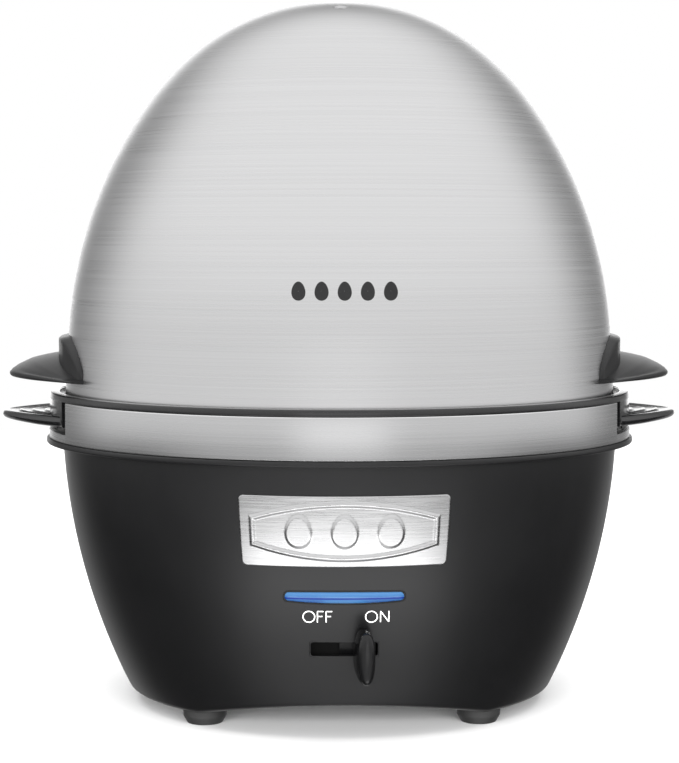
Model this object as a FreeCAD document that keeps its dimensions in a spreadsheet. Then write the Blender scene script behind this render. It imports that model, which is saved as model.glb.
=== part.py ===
import FreeCAD, Part
import math
import os

import Sketcher

# Egg cooker: a round black housing on four feet, a steel band around its rim, a shallow heating
# plate, a lift-out egg tray with two side handles and a domed steel lid with two side handles.
# Millimetres. The origin is on the ground under the centre, +Z is up and the front faces -Y.

SIZES = [
    ("lid_top", 213.9, "apex of the lid above the ground"),
    ("lid_bottom", 94.1, "lower edge of the lid"),
    ("lid_skirt_top", 113.5, "end of the straight skirt"),
    ("lid_flare", 3.8, "degrees that the skirt leans inwards"),
    ("lid_nose", 70.9, "radius of the top of the dome"),
    ("lid_wall", 0.8, "sheet thickness of the lid"),
    ("lid_vent", 2.1, "radius of the steam vent"),
    ("lid_vent_front", 22.0, "distance of the vent in front of the apex"),
    ("rim_radius", 87.2, "inside radius of the housing's rim wall"),
    ("rim_wall", 1.3, "thickness of the rim wall"),
    ("rim_top", 93.0, "top of the rim wall"),
    ("lid_inset", 2.72, "rim radius less the radius of the lid's lower edge"),
    ("body_inset", 1.79, "rim radius less the largest radius of the housing wall"),
    ("wall_curve", 190.55, "radius of the wall's upright curve"),
    ("wall_equator", 90.3, "height of the centre of the wall's curve"),
    ("wall_low", 4.3, "lowest point of the housing wall"),
    ("wall_skin", 2.4, "thickness of the housing wall"),
    ("lip_bottom", 80.2, "underside of the lip below the band"),
    ("lip_skin", 1.5, "thickness of the lip"),
    ("lip_reach", 3.0, "how far the lip stands out past the rim radius"),
    ("arch_crown", 11.0, "height of the two arches, at the front and the back"),
    ("arch_radius", 158.0, "radius of those arches"),
    ("ledge_top", 82.2, "ledge that carries the heating plate"),
    ("ledge_width", 4.3, "width of that ledge"),
    ("gasket_height", 1.0, "height of the plate's gasket"),
    ("plate_skin", 0.8, "sheet thickness of the heating plate"),
    ("plate_floor", 64.5, "underside of the heating plate's dish"),
    ("plate_taper", 3.1, "how far the dish narrows from flange to floor"),
    ("plate_corner", 6.0, "corner radius of the dish"),
    ("gap", 0.3, "gap between pieces that move apart"),
    ("slip", 0.05, "gap between pieces that are fixed together"),
    ("band_skin", 0.8, "sheet thickness of the steel band"),
    ("band_top", 93.85, "top of the steel band"),
    ("notch_floor", 84.6, "bottom of the handle notches in the rim"),
    ("notch_half_angle", 23.4, "half angle of the notches in the rim wall, degrees"),
    ("band_notch_extra", 1.7, "extra half angle of the notches in the band, degrees"),
    ("tray_ring_inset", 1.1, "rim radius less the inside radius of the tray's ring"),
    ("tray_ring_height", 1.9, "height of the tray's ring"),
    ("tray_ledge", 92.0, "underside of the tray's ledge"),
    ("tray_skirt_skin", 1.8, "thickness of the tray's skirt"),
    ("tray_floor", 83.0, "underside of the tray's perforated floor"),
    ("tray_skin", 2.0, "thickness of the tray's floor"),
    ("egg_hole", 15.5, "radius of an egg seat"),
    ("egg_ring", 61.5, "radius of the ring of outer egg seats"),
    ("egg_count", 8, "number of outer egg seats"),
    ("egg_inner", 21.8, "distance of the inner egg seats from the centre"),
    ("egg_inner_turn", 22.5, "direction of the inner pair, degrees from the front"),
    ("block_angle", 22.5, "half angle of the tray's handle blocks, degrees"),
    ("block_bottom", 85.9, "underside of the tray's handle blocks"),
    ("tray_tip", 104.3, "reach of the tray's handles"),
    ("tray_tip_half", 12.0, "half width of the rounded tip"),
    ("tray_handle_half", 27.4, "half width of a tray handle at its root"),
    ("tray_handle_skin", 2.9, "thickness of a tray handle at its root"),
    ("tray_handle_rise", 2.0, "how far the underside rises towards the tip"),
    ("lid_handle_tip", 102.2, "reach of the lid's handles"),
    ("lid_handle_bottom", 99.2, "underside of the lid's handles"),
    ("lid_handle_height", 5.8, "height of a lid handle at its root"),
    ("lid_pad_top", 112.7, "top of the pad that backs a lid handle"),
    ("lid_pad_skin", 3.0, "thickness of that pad"),
    ("lid_pad_half", 41.4, "half width of the pad"),
    ("lid_pad_flat", 24.0, "half width of the pad's flat top"),
    ("lid_pad_shoulder", 101.1, "height where the pad's rounded shoulder ends"),
    ("lid_pad_corner", 27.0, "radius of that shoulder"),
    ("lid_handle_half", 44.5, "half width of a lid handle at its root"),
    ("handle_screw_side", 14.0, "distance of a lid handle's screws from its middle"),
    ("handle_screw_height", 102.0, "height of the lid handle's screws"),
    ("screw_shank", 1.45, "shank radius of all screws"),
    ("screw_head", 2.8, "head radius of all screws"),
    ("screw_head_height", 1.7, "head height of all screws"),
    ("cover_bottom", 11.6, "underside of the bottom cover"),
    ("cover_skin", 2.0, "thickness of the bottom cover"),
    ("cover_gap", 0.5, "gap between the bottom cover and the wall"),
    ("foot_inset", 8.3, "distance of a foot's centre inside the cover's edge"),
    ("foot_radius", 6.65, "radius of a foot"),
    ("foot_chamfer", 2.0, "chamfer at the bottom of a foot"),
    ("foot_peg", 2.4, "radius of the peg that holds a foot"),
    ("boss_inset", 6.4, "distance of a screw boss inside the cover's edge"),
    ("boss_radius", 3.5, "radius of a screw boss"),
    ("boss_height", 14.0, "height of a screw boss"),
    ("boss_turn", 30.0, "direction of the first screw boss, degrees"),
    ("boss_rib", 2.0, "thickness of a boss's rib"),
    ("name_half", 28.4, "half width of the nameplate"),
    ("name_low", 51.95, "lower edge of the nameplate"),
    ("name_height", 20.05, "height of the nameplate"),
    ("name_skin", 0.7, "thickness of the nameplate"),
    ("name_corner", 1.5, "corner radius of the nameplate"),
    ("lens_half", 16.5, "half width of the indicator lens"),
    ("lens_height", 3.2, "height of the indicator lens"),
    ("lens_level", 43.2, "height of the lens's middle"),
    ("lens_proud", 0.4, "how far the lens stands out of the wall"),
    ("slot_half", 9.35, "half length of the switch slot"),
    ("slot_height", 4.2, "height of the switch slot"),
    ("switch_level", 28.0, "height of the switch"),
    ("knob_offset", 5.4, "place of the knob at ON, right of the middle"),
    ("knob_width", 5.8, "width of the knob"),
    ("knob_height", 15.3, "height of the knob"),
    ("knob_proud", 8.0, "how far the knob stands out of the wall"),
    ("carriage_half", 6.9, "half width of the knob's carriage"),
    ("cord_level", 24.0, "height of the cord inlet at the back"),
    ("cord_bore", 3.6, "radius of the bore for the cord"),
    ("cord_shank", 4.9, "shank radius of the cord's bushing"),
    ("cord_face", 76.5, "face of the boss around the cord inlet"),
    ("cord_boss", 9.0, "radius of that boss"),
    ("element_ring", 45.0, "ring radius of the heating element"),
    ("element_tube", 3.4, "tube radius of the heating element"),
    ("element_gap_angle", 40.0, "opening of the element's ring, degrees"),
    ("shield_radius", 56.0, "radius of the heat shield"),
    ("shield_level", 50.5, "underside of the heat shield"),
    ("shield_skin", 1.2, "thickness of the heat shield"),
    ("tongue_overlap", 17.0, "start of a lid handle's tongue, inside the rim radius"),
    ("tongue_middle", 3.8, "distance of the tongue's middle section from its tip"),
    ("tongue_crest", 13.0, "distance of the tongue's crest from its tip"),
    ("handle_screw_length", 7.0, "shank length of the lid handle's screws"),
    ("handle_hole_start", 10.0, "start of the handle's screw holes, inside the rim radius"),
    ("handle_hole_depth", 11.8, "depth of the handle's screw holes from there"),
    ("cover_screw_length", 11.0, "shank length of the cover's screws"),
    ("name_half_angle", 19.9, "half angle that the nameplate wraps, degrees"),
    ("stem_back", 4.9, "distance of the knob stem's back end inside the wall"),
    ("stem_length", 7.0, "length of the knob's stem"),
    ("carriage_back", 7.8, "distance of the carriage's back inside the wall"),
    ("carriage_skin", 2.0, "thickness of the carriage"),
    ("carriage_tall", 3.8, "half height of the carriage"),
    ("link_back", 7.0, "distance of the link's back end inside the wall"),
    ("link_half", 3.0, "half width of the link between stem and carriage, and its length"),
    ("nub_back", 10.2, "distance of the nub's back end inside the wall"),
    ("nub_half", 1.5, "half width of the nub that works the switch"),
    ("nub_length", 2.6, "length of that nub"),
    ("cord_clip", 12.9, "distance from the bushing's collar to its clip"),
    ("cord_clip_skin", 1.8, "thickness of the clip and of the collar"),
    ("cord_clip_reach", 1.1, "how far the clip stands out of the shank"),
    ("cord_collar_reach", 2.2, "how far the collar stands out of the shank"),
    ("cord_boss_depth", 12.5, "depth of the boss around the cord inlet"),
    ("bracket_screw_side", 12.0, "distance of the bracket's screws from the middle"),
    ("bracket_screw_inset", 16.5, "distance of those screws inside the cover's edge"),
    ("bracket_screw_length", 3.0, "shank length of those screws"),
    ("bracket_foot", 13.0, "depth of the bracket's foot"),
    ("bracket_top", 50.0, "top of the bracket"),
    ("bracket_width", 44.0, "width of the bracket"),
    ("bracket_skin", 1.2, "sheet thickness of the bracket"),
    ("switch_back", 10.5, "distance of the electric switch's front inside the wall"),
    ("switch_depth", 7.5, "depth of the electric switch"),
    ("switch_wide", 28.0, "width of the electric switch"),
    ("switch_tall", 13.0, "height of the electric switch"),
    ("lug_pitch", 5.0, "distance between the switch's lugs"),
    ("board_gap", 1.9, "distance of the board's back in front of the electric switch"),
    ("board_skin", 1.6, "thickness of the indicator board"),
    ("board_wide", 40.0, "width of the indicator board"),
    ("board_tall", 11.5, "height of the indicator board"),
    ("spacer_side", 16.5, "distance of the board's spacers from the middle"),
    ("spacer_radius", 2.0, "radius of a spacer"),
    ("lamp_radius", 1.6, "radius of an indicator lamp"),
    ("lamp_height", 3.4, "height of an indicator lamp's stem"),
    ("lamp_pitch", 10.0, "distance between the indicator lamps"),
    ("clamp_skin", 1.6, "thickness of the element's clamp"),
    ("clamp_width", 12.0, "width of that clamp"),
    ("stud_radius", 2.5, "radius of the stud under the plate"),
    ("stud_bottom", 40.0, "lower end of that stud"),
    ("nut_height", 4.0, "height of a nut"),
    ("nut_radius", 4.6, "corner radius of a nut"),
    ("end_length", 7.5, "length of the element's turned-down ends"),
    ("end_hole", 5.0, "radius of the heat shield's holes for those ends"),
    ("thermostat_radius", 7.5, "radius of the thermostat"),
    ("thermostat_height", 8.0, "height of the thermostat"),
    ("thermostat_back", 24.0, "distance of the thermostat behind the centre"),
    ("fuse_radius", 2.1, "radius of the thermal fuse"),
    ("fuse_half", 8.0, "half length of the thermal fuse"),
    ("fuse_front", 22.0, "distance of the fuse in front of the centre"),
    ("terminal_half", 15.0, "half width of the terminal block"),
    ("terminal_front", 33.0, "front of the terminal block"),
    ("terminal_depth", 14.0, "depth of the terminal block"),
    ("terminal_tall", 13.0, "height of the terminal block"),
    ("terminal_pitch", 9.0, "distance between its wells"),
    ("buzzer_radius", 11.0, "radius of the buzzer"),
    ("buzzer_tall", 8.5, "height of the buzzer"),
    ("buzzer_left", 32.0, "distance of the buzzer left of the centre"),
    ("buzzer_back", 4.0, "distance of the buzzer behind the centre"),
    ("wire_thin", 0.9, "radius of a switch wire"),
    ("wire_thick", 1.2, "radius of the element's supply wire"),
    ("wire_low", 4.5, "height of the wires above the cover"),
    ("wire_front", 38.0, "distance of the wires' turn in front of the centre"),
]

REACH = 400.0      # longer than the object, for cuts that pass right through it
UP = FreeCAD.Vector(0, 0, 1)
ACROSS = FreeCAD.Vector(1, 0, 0)


class Dim:
    """A size that carries its value and the sheet expression that gives it."""

    def __init__(self, value, text):
        self.value = float(value)
        self.text = text

    @staticmethod
    def of(other):
        """Return a plain number as a Dim."""
        return other if isinstance(other, Dim) else Dim(other, f"({float(other)!r})")

    def __add__(self, other):
        other = Dim.of(other)
        return Dim(self.value + other.value, f"({self.text} + {other.text})")

    def __sub__(self, other):
        other = Dim.of(other)
        return Dim(self.value - other.value, f"({self.text} - {other.text})")

    def __mul__(self, other):
        other = Dim.of(other)
        return Dim(self.value * other.value, f"({self.text} * {other.text})")

    def __truediv__(self, other):
        other = Dim.of(other)
        return Dim(self.value / other.value, f"({self.text} / {other.text})")

    def __radd__(self, other):
        return Dim.of(other) + self

    def __rsub__(self, other):
        return Dim.of(other) - self

    def __rmul__(self, other):
        return Dim.of(other) * self

    def __rtruediv__(self, other):
        return Dim.of(other) / self

    def __neg__(self):
        return Dim.of(0) - self


def root(size):
    """Square root of a size."""
    return Dim(math.sqrt(size.value), f"sqrt({size.text})")


def sine(angle):
    """Sine of an angle in degrees."""
    return Dim(math.sin(math.radians(angle.value)), f"sin({angle.text})")


def cosine(angle):
    """Cosine of an angle in degrees."""
    return Dim(math.cos(math.radians(angle.value)), f"cos({angle.text})")


class Sheet:
    """The spreadsheet of driving dimensions; each alias reads as an attribute."""

    def __init__(self, doc):
        self.cells = doc.addObject("Spreadsheet::Sheet", "Dimensions")
        for row, (alias, value, note) in enumerate(SIZES, start=1):
            self.cells.set(f"A{row}", alias)
            self.cells.set(f"B{row}", str(value))
            self.cells.set(f"C{row}", note)
            self.cells.setAlias(f"B{row}", alias)
        doc.recompute()

    def __getattr__(self, alias):
        return Dim(self.cells.get(alias), f"Dimensions.{alias}")


doc = FreeCAD.newDocument("EggCooker")
dim = Sheet(doc)


# ---- binding, sketching and features ---------------------------------------------------------

def bind(item, name, size):
    """Bind a property to the sheet, or set it when the size is a plain number."""
    item.setExpression(name, Dim.of(size).text)


def new_body(label):
    """An empty body whose label names the sub-part."""
    body = doc.addObject("PartDesign::Body", label)
    body.Label = label
    return body


def sketch_on(body, role, offset=0.0, turn=0.0):
    """A sketch on one of the body's own origin planes, moved along its normal and turned in it."""
    plane = [part for part in body.Origin.OriginFeatures if part.Role == role][0]
    sketch = body.newObject("Sketcher::SketchObject", f"{body.Label}_sketch")
    sketch.AttachmentSupport = [(plane, "")]
    sketch.MapMode = "FlatFace"
    sketch.AttachmentOffset = FreeCAD.Placement(FreeCAD.Vector(), FreeCAD.Rotation(UP, Dim.of(turn).value))
    bind(sketch, "AttachmentOffset.Base.z", offset)
    return sketch


def fix_point(sketch, edge, end, point):
    """Hold one end of a sketch edge at bound coordinates."""
    for axis, size in zip(("DistanceX", "DistanceY"), point):
        size = Dim.of(size)
        number = sketch.addConstraint(Sketcher.Constraint(axis, -1, 1, edge, end, size.value))
        sketch.setExpression(f"Constraints[{number}]", size.text)


def fix_radius(sketch, edge, size):
    """Hold the radius of an arc or circle at a bound size."""
    size = Dim.of(size)
    number = sketch.addConstraint(Sketcher.Constraint("Radius", edge, size.value))
    sketch.setExpression(f"Constraints[{number}]", size.text)


def arc_between(start, stop, radius):
    """Short arc from start to stop: a positive radius turns left, a negative one right."""
    middle = (start + stop) * 0.5
    chord = stop - start
    half = chord.Length / 2
    height = math.sqrt(max(radius * radius - half * half, 0.0))
    left = FreeCAD.Vector(-chord.y, chord.x, 0).normalize()
    centre = middle + left * math.copysign(height, radius)
    if radius < 0:
        start, stop = stop, start
    first = math.atan2(start.y - centre.y, start.x - centre.x)
    last = math.atan2(stop.y - centre.y, stop.x - centre.x)
    return Part.ArcOfCircle(Part.Circle(centre, UP, abs(radius)), first, last)


def draw(sketch, corners):
    """Draw a closed outline. A corner is (x, y), or (x, y, radius) where an arc leaves it."""
    points = [FreeCAD.Vector(Dim.of(c[0]).value, Dim.of(c[1]).value, 0) for c in corners]
    starts = []
    for index, corner in enumerate(corners):
        start = points[index]
        stop = points[(index + 1) % len(points)]
        radius = Dim.of(corner[2]).value if len(corner) > 2 else 0.0
        edge = arc_between(start, stop, radius) if radius else Part.LineSegment(start, stop)
        number = sketch.addGeometry(edge, False)
        starts.append((number, 2, 1) if radius < 0 else (number, 1, 2))
    for index, corner in enumerate(corners):
        number, begin, _ = starts[index]
        before, _, end = starts[index - 1]
        sketch.addConstraint(Sketcher.Constraint("Coincident", before, end, number, begin))
        fix_point(sketch, number, begin, corner[:2])
        if len(corner) > 2:
            radius = corner[2] if Dim.of(corner[2]).value > 0 else -Dim.of(corner[2])
            fix_radius(sketch, number, radius)


def draw_circle(sketch, x, y, radius):
    """Draw a circle with bound centre and radius."""
    centre = FreeCAD.Vector(Dim.of(x).value, Dim.of(y).value, 0)
    number = sketch.addGeometry(Part.Circle(centre, UP, Dim.of(radius).value), False)
    fix_point(sketch, number, 3, (x, y))
    fix_radius(sketch, number, radius)


def block(low_x, low_y, high_x, high_y):
    """The four corners of a rectangle."""
    return [(low_x, low_y), (high_x, low_y), (high_x, high_y), (low_x, high_y)]


def revolve(body, sketch, angle=360):
    """Turn a sketch about its upright axis, half of the angle to each side."""
    feature = body.newObject("PartDesign::Revolution", f"{body.Label}_turn")
    feature.Profile = sketch
    feature.ReferenceAxis = (sketch, ["V_Axis"])
    feature.Midplane = True
    bind(feature, "Angle", angle)
    return feature


def pad(body, sketch, length, both=False, back=False):
    """Extrude a sketch along its normal, both ways or backwards."""
    feature = body.newObject("PartDesign::Pad", f"{body.Label}_pad")
    feature.Profile = sketch
    feature.SideType = "Symmetric" if both else "One side"
    feature.Reversed = back
    bind(feature, "Length", length)
    return feature


def removed(body, feature):
    """Check that a cut took material away."""
    before = body.Tip.Shape.Volume
    body.Tip = feature
    doc.recompute()
    if feature.Shape.Volume >= before - 1e-6:
        raise RuntimeError(f"{feature.Name} removes nothing")
    return feature


def cut(body, sketch, length=REACH, both=True, back=False):
    """Pocket a sketch both ways, or one way against its normal (or along it when back)."""
    doc.recompute()
    tip = body.Tip
    feature = body.newObject("PartDesign::Pocket", f"{body.Label}_cut")
    feature.Profile = sketch
    feature.SideType = "Symmetric" if both else "One side"
    feature.Reversed = back
    bind(feature, "Length", length)
    body.Tip = tip
    return removed(body, feature)


def groove(body, sketch):
    """Remove a full turn of a sketch about its upright axis."""
    doc.recompute()
    tip = body.Tip
    feature = body.newObject("PartDesign::Groove", f"{body.Label}_groove")
    feature.Profile = sketch
    feature.ReferenceAxis = (sketch, ["V_Axis"])
    bind(feature, "Angle", 360)
    body.Tip = tip
    return removed(body, feature)


def repeat_round(body, features, count):
    """Repeat features evenly around the upright axis."""
    axis = [part for part in body.Origin.OriginFeatures if part.Role == "Z_Axis"][0]
    pattern = body.newObject("PartDesign::PolarPattern", f"{body.Label}_pattern")
    pattern.Originals = features
    pattern.Axis = (axis, [""])
    bind(pattern, "Angle", 360)
    bind(pattern, "Occurrences", count)
    body.Tip = pattern
    doc.recompute()
    return pattern


def round_edges(body, radius, chosen):
    """Fillet the edges of the tip that the test picks."""
    doc.recompute()
    tip = body.Tip
    names = [f"Edge{n}" for n, edge in enumerate(tip.Shape.Edges, start=1) if chosen(edge)]
    if not names:
        raise RuntimeError(f"{body.Label}: no edge to round")
    fillet = body.newObject("PartDesign::Fillet", f"{body.Label}_fillet")
    fillet.Base = (tip, names)
    bind(fillet, "Radius", radius)
    body.Tip = fillet
    doc.recompute()


def solid_box(name, low, size):
    """A Part box with bound corner and size."""
    item = doc.addObject("Part::Box", name)
    for prop, value in zip(("Length", "Width", "Height"), size):
        bind(item, prop, value)
    for axis, value in zip("xyz", low):
        bind(item, f"Placement.Base.{axis}", value)
    return item


def solid_cylinder(name, base, radius, length, axis=UP):
    """A Part cylinder that starts at base and runs along axis."""
    item = doc.addObject("Part::Cylinder", name)
    item.Placement = FreeCAD.Placement(FreeCAD.Vector(), FreeCAD.Rotation(UP, axis))
    bind(item, "Radius", radius)
    bind(item, "Height", length)
    for direction, value in zip("xyz", base):
        bind(item, f"Placement.Base.{direction}", value)
    return item


def joined(label, pieces):
    """One solid from overlapping pieces."""
    fuse = doc.addObject("Part::MultiFuse", label)
    fuse.Shapes = pieces
    fuse.Label = label
    return fuse


def group(label, pieces):
    """One node of separate solids."""
    compound = doc.addObject("Part::Compound", label)
    compound.Links = pieces
    compound.Label = label
    return compound


def without(label, base, tools):
    """A base with tools cut out of it."""
    tool = tools[0] if len(tools) == 1 else joined(f"{label}_tools", tools)
    difference = doc.addObject("Part::Cut", label)
    difference.Base = base
    difference.Tool = tool
    difference.Label = label
    return difference


def screw(name, head_base, length, axis):
    """A pan-head screw: the head starts at head_base, and the shank runs along axis."""
    head = solid_cylinder(f"{name}_head", head_base, dim.screw_head, dim.screw_head_height, axis)
    start = [base + part * dim.screw_head_height for base, part in zip(head_base, axis)]
    shank = solid_cylinder(f"{name}_shank", start, dim.screw_shank, length, axis)
    return joined(name, [head, shank])


# ---- derived sizes ---------------------------------------------------------------------------

def wall_radius(level, inset=0.0):
    """Radius of the housing wall, or of a surface inset from it, at a height."""
    curve = dim.wall_curve - inset
    rise = level - dim.wall_equator
    return dim.rim_radius - dim.body_inset - dim.wall_curve + root(curve * curve - rise * rise)


def skirt_radius(level, offset=0.0):
    """Radius of the lid's straight skirt, or of a surface offset from it, at a height."""
    lean = sine(dim.lid_flare) / cosine(dim.lid_flare)
    return dim.rim_radius - dim.lid_inset - (level - dim.lid_bottom) * lean + offset


class Dome:
    """Upright profile of the lid: a straight skirt, a shoulder arc and a nose arc, all tangent."""

    def __init__(self, inset):
        lean_cos = cosine(dim.lid_flare)
        lean_sin = sine(dim.lid_flare)
        top_radius = skirt_radius(dim.lid_skirt_top)
        rise = dim.lid_top - dim.lid_nose - dim.lid_skirt_top
        over = top_radius * top_radius + rise * rise - dim.lid_nose * dim.lid_nose
        under = 2 * (top_radius * lean_cos - rise * lean_sin - dim.lid_nose)
        outer_shoulder = over / under
        centre_x = top_radius - outer_shoulder * lean_cos
        centre_z = dim.lid_skirt_top - outer_shoulder * lean_sin
        spread = outer_shoulder - dim.lid_nose
        self.shoulder = outer_shoulder - inset
        self.nose = dim.lid_nose - inset
        self.edge = (skirt_radius(dim.lid_bottom, -inset / lean_cos), dim.lid_bottom)
        self.bend = (centre_x + self.shoulder * lean_cos, centre_z + self.shoulder * lean_sin)
        self.join = (centre_x - self.shoulder * centre_x / spread,
                     centre_z + self.shoulder * (dim.lid_top - dim.lid_nose - centre_z) / spread)
        self.apex = (0, dim.lid_top - inset)


cover_radius = wall_radius(dim.cover_bottom, dim.wall_skin) - dim.cover_gap
cover_top = dim.cover_bottom + dim.cover_skin
plate_flange = dim.ledge_top + dim.gasket_height
ledge_radius = dim.rim_radius - dim.ledge_width
plate_outer = ledge_radius - dim.gap
plate_inner = plate_outer - dim.plate_skin
tray_skirt = plate_inner - dim.plate_skin
tray_ring_inner = dim.rim_radius - dim.tray_ring_inset
band_inner = dim.rim_radius + dim.rim_wall + dim.slip
band_outer = band_inner + dim.band_skin
ring_bottom = dim.band_top + dim.slip
foot_place = (cover_radius - dim.foot_inset) * math.sqrt(0.5)
boss_place = cover_radius - dim.boss_inset
bracket_screw_row = cover_radius - dim.bracket_screw_inset
SIDES = (1, -1)
CORNERS = (("front_left", -1, -1), ("front_right", 1, -1), ("back_left", -1, 1), ("back_right", 1, 1))


# ---- lid -------------------------------------------------------------------------------------

def make_lid_shell():
    """Pressed steel dome with a steam vent and four holes for the handle screws."""
    body = new_body("lid_shell")
    outer = Dome(0)
    inner = Dome(dim.lid_wall)
    profile = sketch_on(body, "XZ_Plane")
    draw(profile, [outer.edge, (*outer.bend, outer.shoulder), (*outer.join, outer.nose), outer.apex,
                   (*inner.apex, -inner.nose), (*inner.join, -inner.shoulder), inner.bend, inner.edge])
    revolve(body, profile)
    vent = sketch_on(body, "XY_Plane")
    draw_circle(vent, 0, -dim.lid_vent_front, dim.lid_vent)
    cut(body, vent, 2 * REACH)
    holes = sketch_on(body, "YZ_Plane")
    for side in SIDES:
        draw_circle(holes, side * dim.handle_screw_side, dim.handle_screw_height, dim.screw_shank + dim.slip)
    cut(body, holes)


def tongue_outline(root_x, half_width, tip, tip_half):
    """Plan of a handle's tongue: two long arcs that meet in a rounded tip."""
    shoulder = half_width * 0.96
    flank = half_width * 1.9
    tip_curve = tip_half * 2.25
    tip_start = tip - (tip_curve - root(tip_curve * tip_curve - tip_half * tip_half))
    root_end = root_x + half_width * 0.16
    return [(root_x, -shoulder), (root_end, -half_width, flank), (tip_start, -tip_half, tip_curve),
            (tip_start, tip_half, flank), (root_end, half_width), (root_x, shoulder)]


def make_lid_handle(label, turn):
    """Moulded handle: an arched pad on the skirt and a tongue that thins towards its tip."""
    body = new_body(label)
    top = dim.lid_pad_top
    bottom = dim.lid_handle_bottom
    band = sketch_on(body, "XZ_Plane")
    draw(band, [(skirt_radius(bottom, dim.slip), bottom), (skirt_radius(bottom, dim.lid_pad_skin), bottom),
                (skirt_radius(top, dim.lid_pad_skin), top), (skirt_radius(top, dim.slip), top)])
    revolve(body, band, 90)
    arch = sketch_on(body, "YZ_Plane")
    draw(arch, block(-REACH / 4, bottom - 10, REACH / 4, top + 20))
    draw(arch, [(-dim.lid_pad_half, bottom), (dim.lid_pad_half, bottom),
                (dim.lid_pad_half, dim.lid_pad_shoulder, dim.lid_pad_corner), (dim.lid_pad_flat, top),
                (-dim.lid_pad_flat, top, dim.lid_pad_corner), (-dim.lid_pad_half, dim.lid_pad_shoulder)])
    cut(body, arch)
    sections = []
    root_x = dim.rim_radius - dim.tongue_overlap
    steps = ((0.0, 1.0, 0.0), (0.5, 0.8, dim.tongue_middle), (1.0, 0.36, dim.tongue_crest))
    for rise, width, reach in steps:
        level = bottom + rise * dim.lid_handle_height
        section = sketch_on(body, "XY_Plane", level)
        half = dim.lid_handle_half * width
        draw(section, tongue_outline(root_x, half, dim.lid_handle_tip - reach, half * 0.27))
        sections.append(section)
    loft = body.newObject("PartDesign::AdditiveLoft", f"{label}_tongue")
    loft.Profile = sections[0]
    loft.Sections = sections[1:]
    inside = sketch_on(body, "XZ_Plane")
    low = bottom - 1
    high = top + 1
    draw(inside, [(0, low), (skirt_radius(low, dim.slip), low),
                  (skirt_radius(high, dim.slip), high), (0, high)])
    groove(body, inside)
    holes = sketch_on(body, "YZ_Plane", dim.rim_radius - dim.handle_hole_start)
    for side in SIDES:
        draw_circle(holes, side * dim.handle_screw_side, dim.handle_screw_height, dim.screw_shank + dim.slip)
    cut(body, holes, dim.handle_hole_depth, both=False, back=True)
    body.Placement = FreeCAD.Placement(FreeCAD.Vector(), FreeCAD.Rotation(UP, turn))


def make_lid_handle_screws():
    """Two screws per handle, put in from inside the lid."""
    edge = dim.handle_screw_side + dim.screw_head
    wall = skirt_radius(dim.handle_screw_height + dim.screw_head, -dim.lid_wall)
    seat = root(wall * wall - edge * edge) - dim.slip
    screws = []
    for side in SIDES:
        for place in SIDES:
            start = [side * (seat - dim.screw_head_height), place * dim.handle_screw_side,
                     dim.handle_screw_height]
            screws.append(screw(f"lid_screw_{len(screws)}", start,
                                dim.handle_screw_length, FreeCAD.Vector(side, 0, 0)))
    group("lid_handle_screws", screws)


# ---- tray and heating plate ------------------------------------------------------------------

def make_egg_tray():
    """Lift-out tray: rim ring, skirt, perforated floor and two side handles."""
    body = new_body("egg_tray")
    floor = dim.tray_floor
    ledge_top = dim.lid_bottom - 2 * dim.slip
    ring_top = ring_bottom + dim.tray_ring_height
    profile = sketch_on(body, "XZ_Plane")
    draw(profile, [(0, floor), (tray_skirt, floor), (tray_skirt, dim.tray_ledge),
                   (dim.rim_radius - dim.gap, dim.tray_ledge), (dim.rim_radius - dim.gap, ring_bottom),
                   (band_outer, ring_bottom), (band_outer, ring_top), (tray_ring_inner, ring_top),
                   (tray_ring_inner, ledge_top), (tray_skirt - dim.tray_skirt_skin, ledge_top),
                   (tray_skirt - dim.tray_skirt_skin, floor + dim.tray_skin), (0, floor + dim.tray_skin)])
    revolve(body, profile)
    blocks = sketch_on(body, "XZ_Plane")
    inner = tray_ring_inner
    outer = band_outer - 0.2
    for side in SIDES:
        draw(blocks, block(side * inner, dim.block_bottom, side * outer, ring_top - 1))
    revolve(body, blocks, 2 * dim.block_angle)
    plan = sketch_on(body, "XY_Plane", dim.block_bottom)
    for side in SIDES:
        outline = tongue_outline(inner + 1, dim.tray_handle_half, dim.tray_tip, dim.tray_handle_half * 0.36)
        draw(plan, [(side * corner[0], side * corner[1], *corner[2:]) for corner in outline])
    pad(body, plan, dim.tray_handle_skin)
    rise = sketch_on(body, "XZ_Plane")
    bottom = dim.block_bottom
    for side in SIDES:
        beyond = side * (dim.tray_tip + 1)
        draw(rise, [(side * (dim.lip_reach + dim.rim_radius), bottom), (beyond, bottom - 1),
                    (beyond, bottom + dim.tray_handle_rise)])
    cut(body, rise)
    seat = sketch_on(body, "XY_Plane", floor + dim.tray_skin)
    draw_circle(seat, 0, -dim.egg_ring, dim.egg_hole)
    hole = cut(body, seat, 3 * dim.tray_skin)
    repeat_round(body, [hole], dim.egg_count)
    pair = sketch_on(body, "XY_Plane", floor + dim.tray_skin)
    for side in SIDES:
        draw_circle(pair, side * dim.egg_inner * sine(dim.egg_inner_turn),
                    -side * dim.egg_inner * cosine(dim.egg_inner_turn), dim.egg_hole)
    cut(body, pair, 3 * dim.tray_skin)


def make_heating_plate():
    """Shallow steel dish with a flange, which holds the water."""
    body = new_body("heating_plate")
    skin = dim.plate_skin
    low = dim.plate_floor
    corner = dim.plate_corner
    foot_outer = plate_outer - dim.plate_taper
    foot_inner = plate_inner - dim.plate_taper
    profile = sketch_on(body, "XZ_Plane")
    draw(profile, [(0, low), (foot_outer - corner, low, corner), (foot_outer, low + corner),
                   (plate_outer, plate_flange), (dim.rim_radius - dim.gap, plate_flange),
                   (dim.rim_radius - dim.gap, plate_flange + skin), (plate_inner, plate_flange + skin),
                   (foot_inner, low + corner, -(corner - skin)), (foot_inner - corner + skin, low + skin),
                   (0, low + skin)])
    revolve(body, profile)


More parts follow.
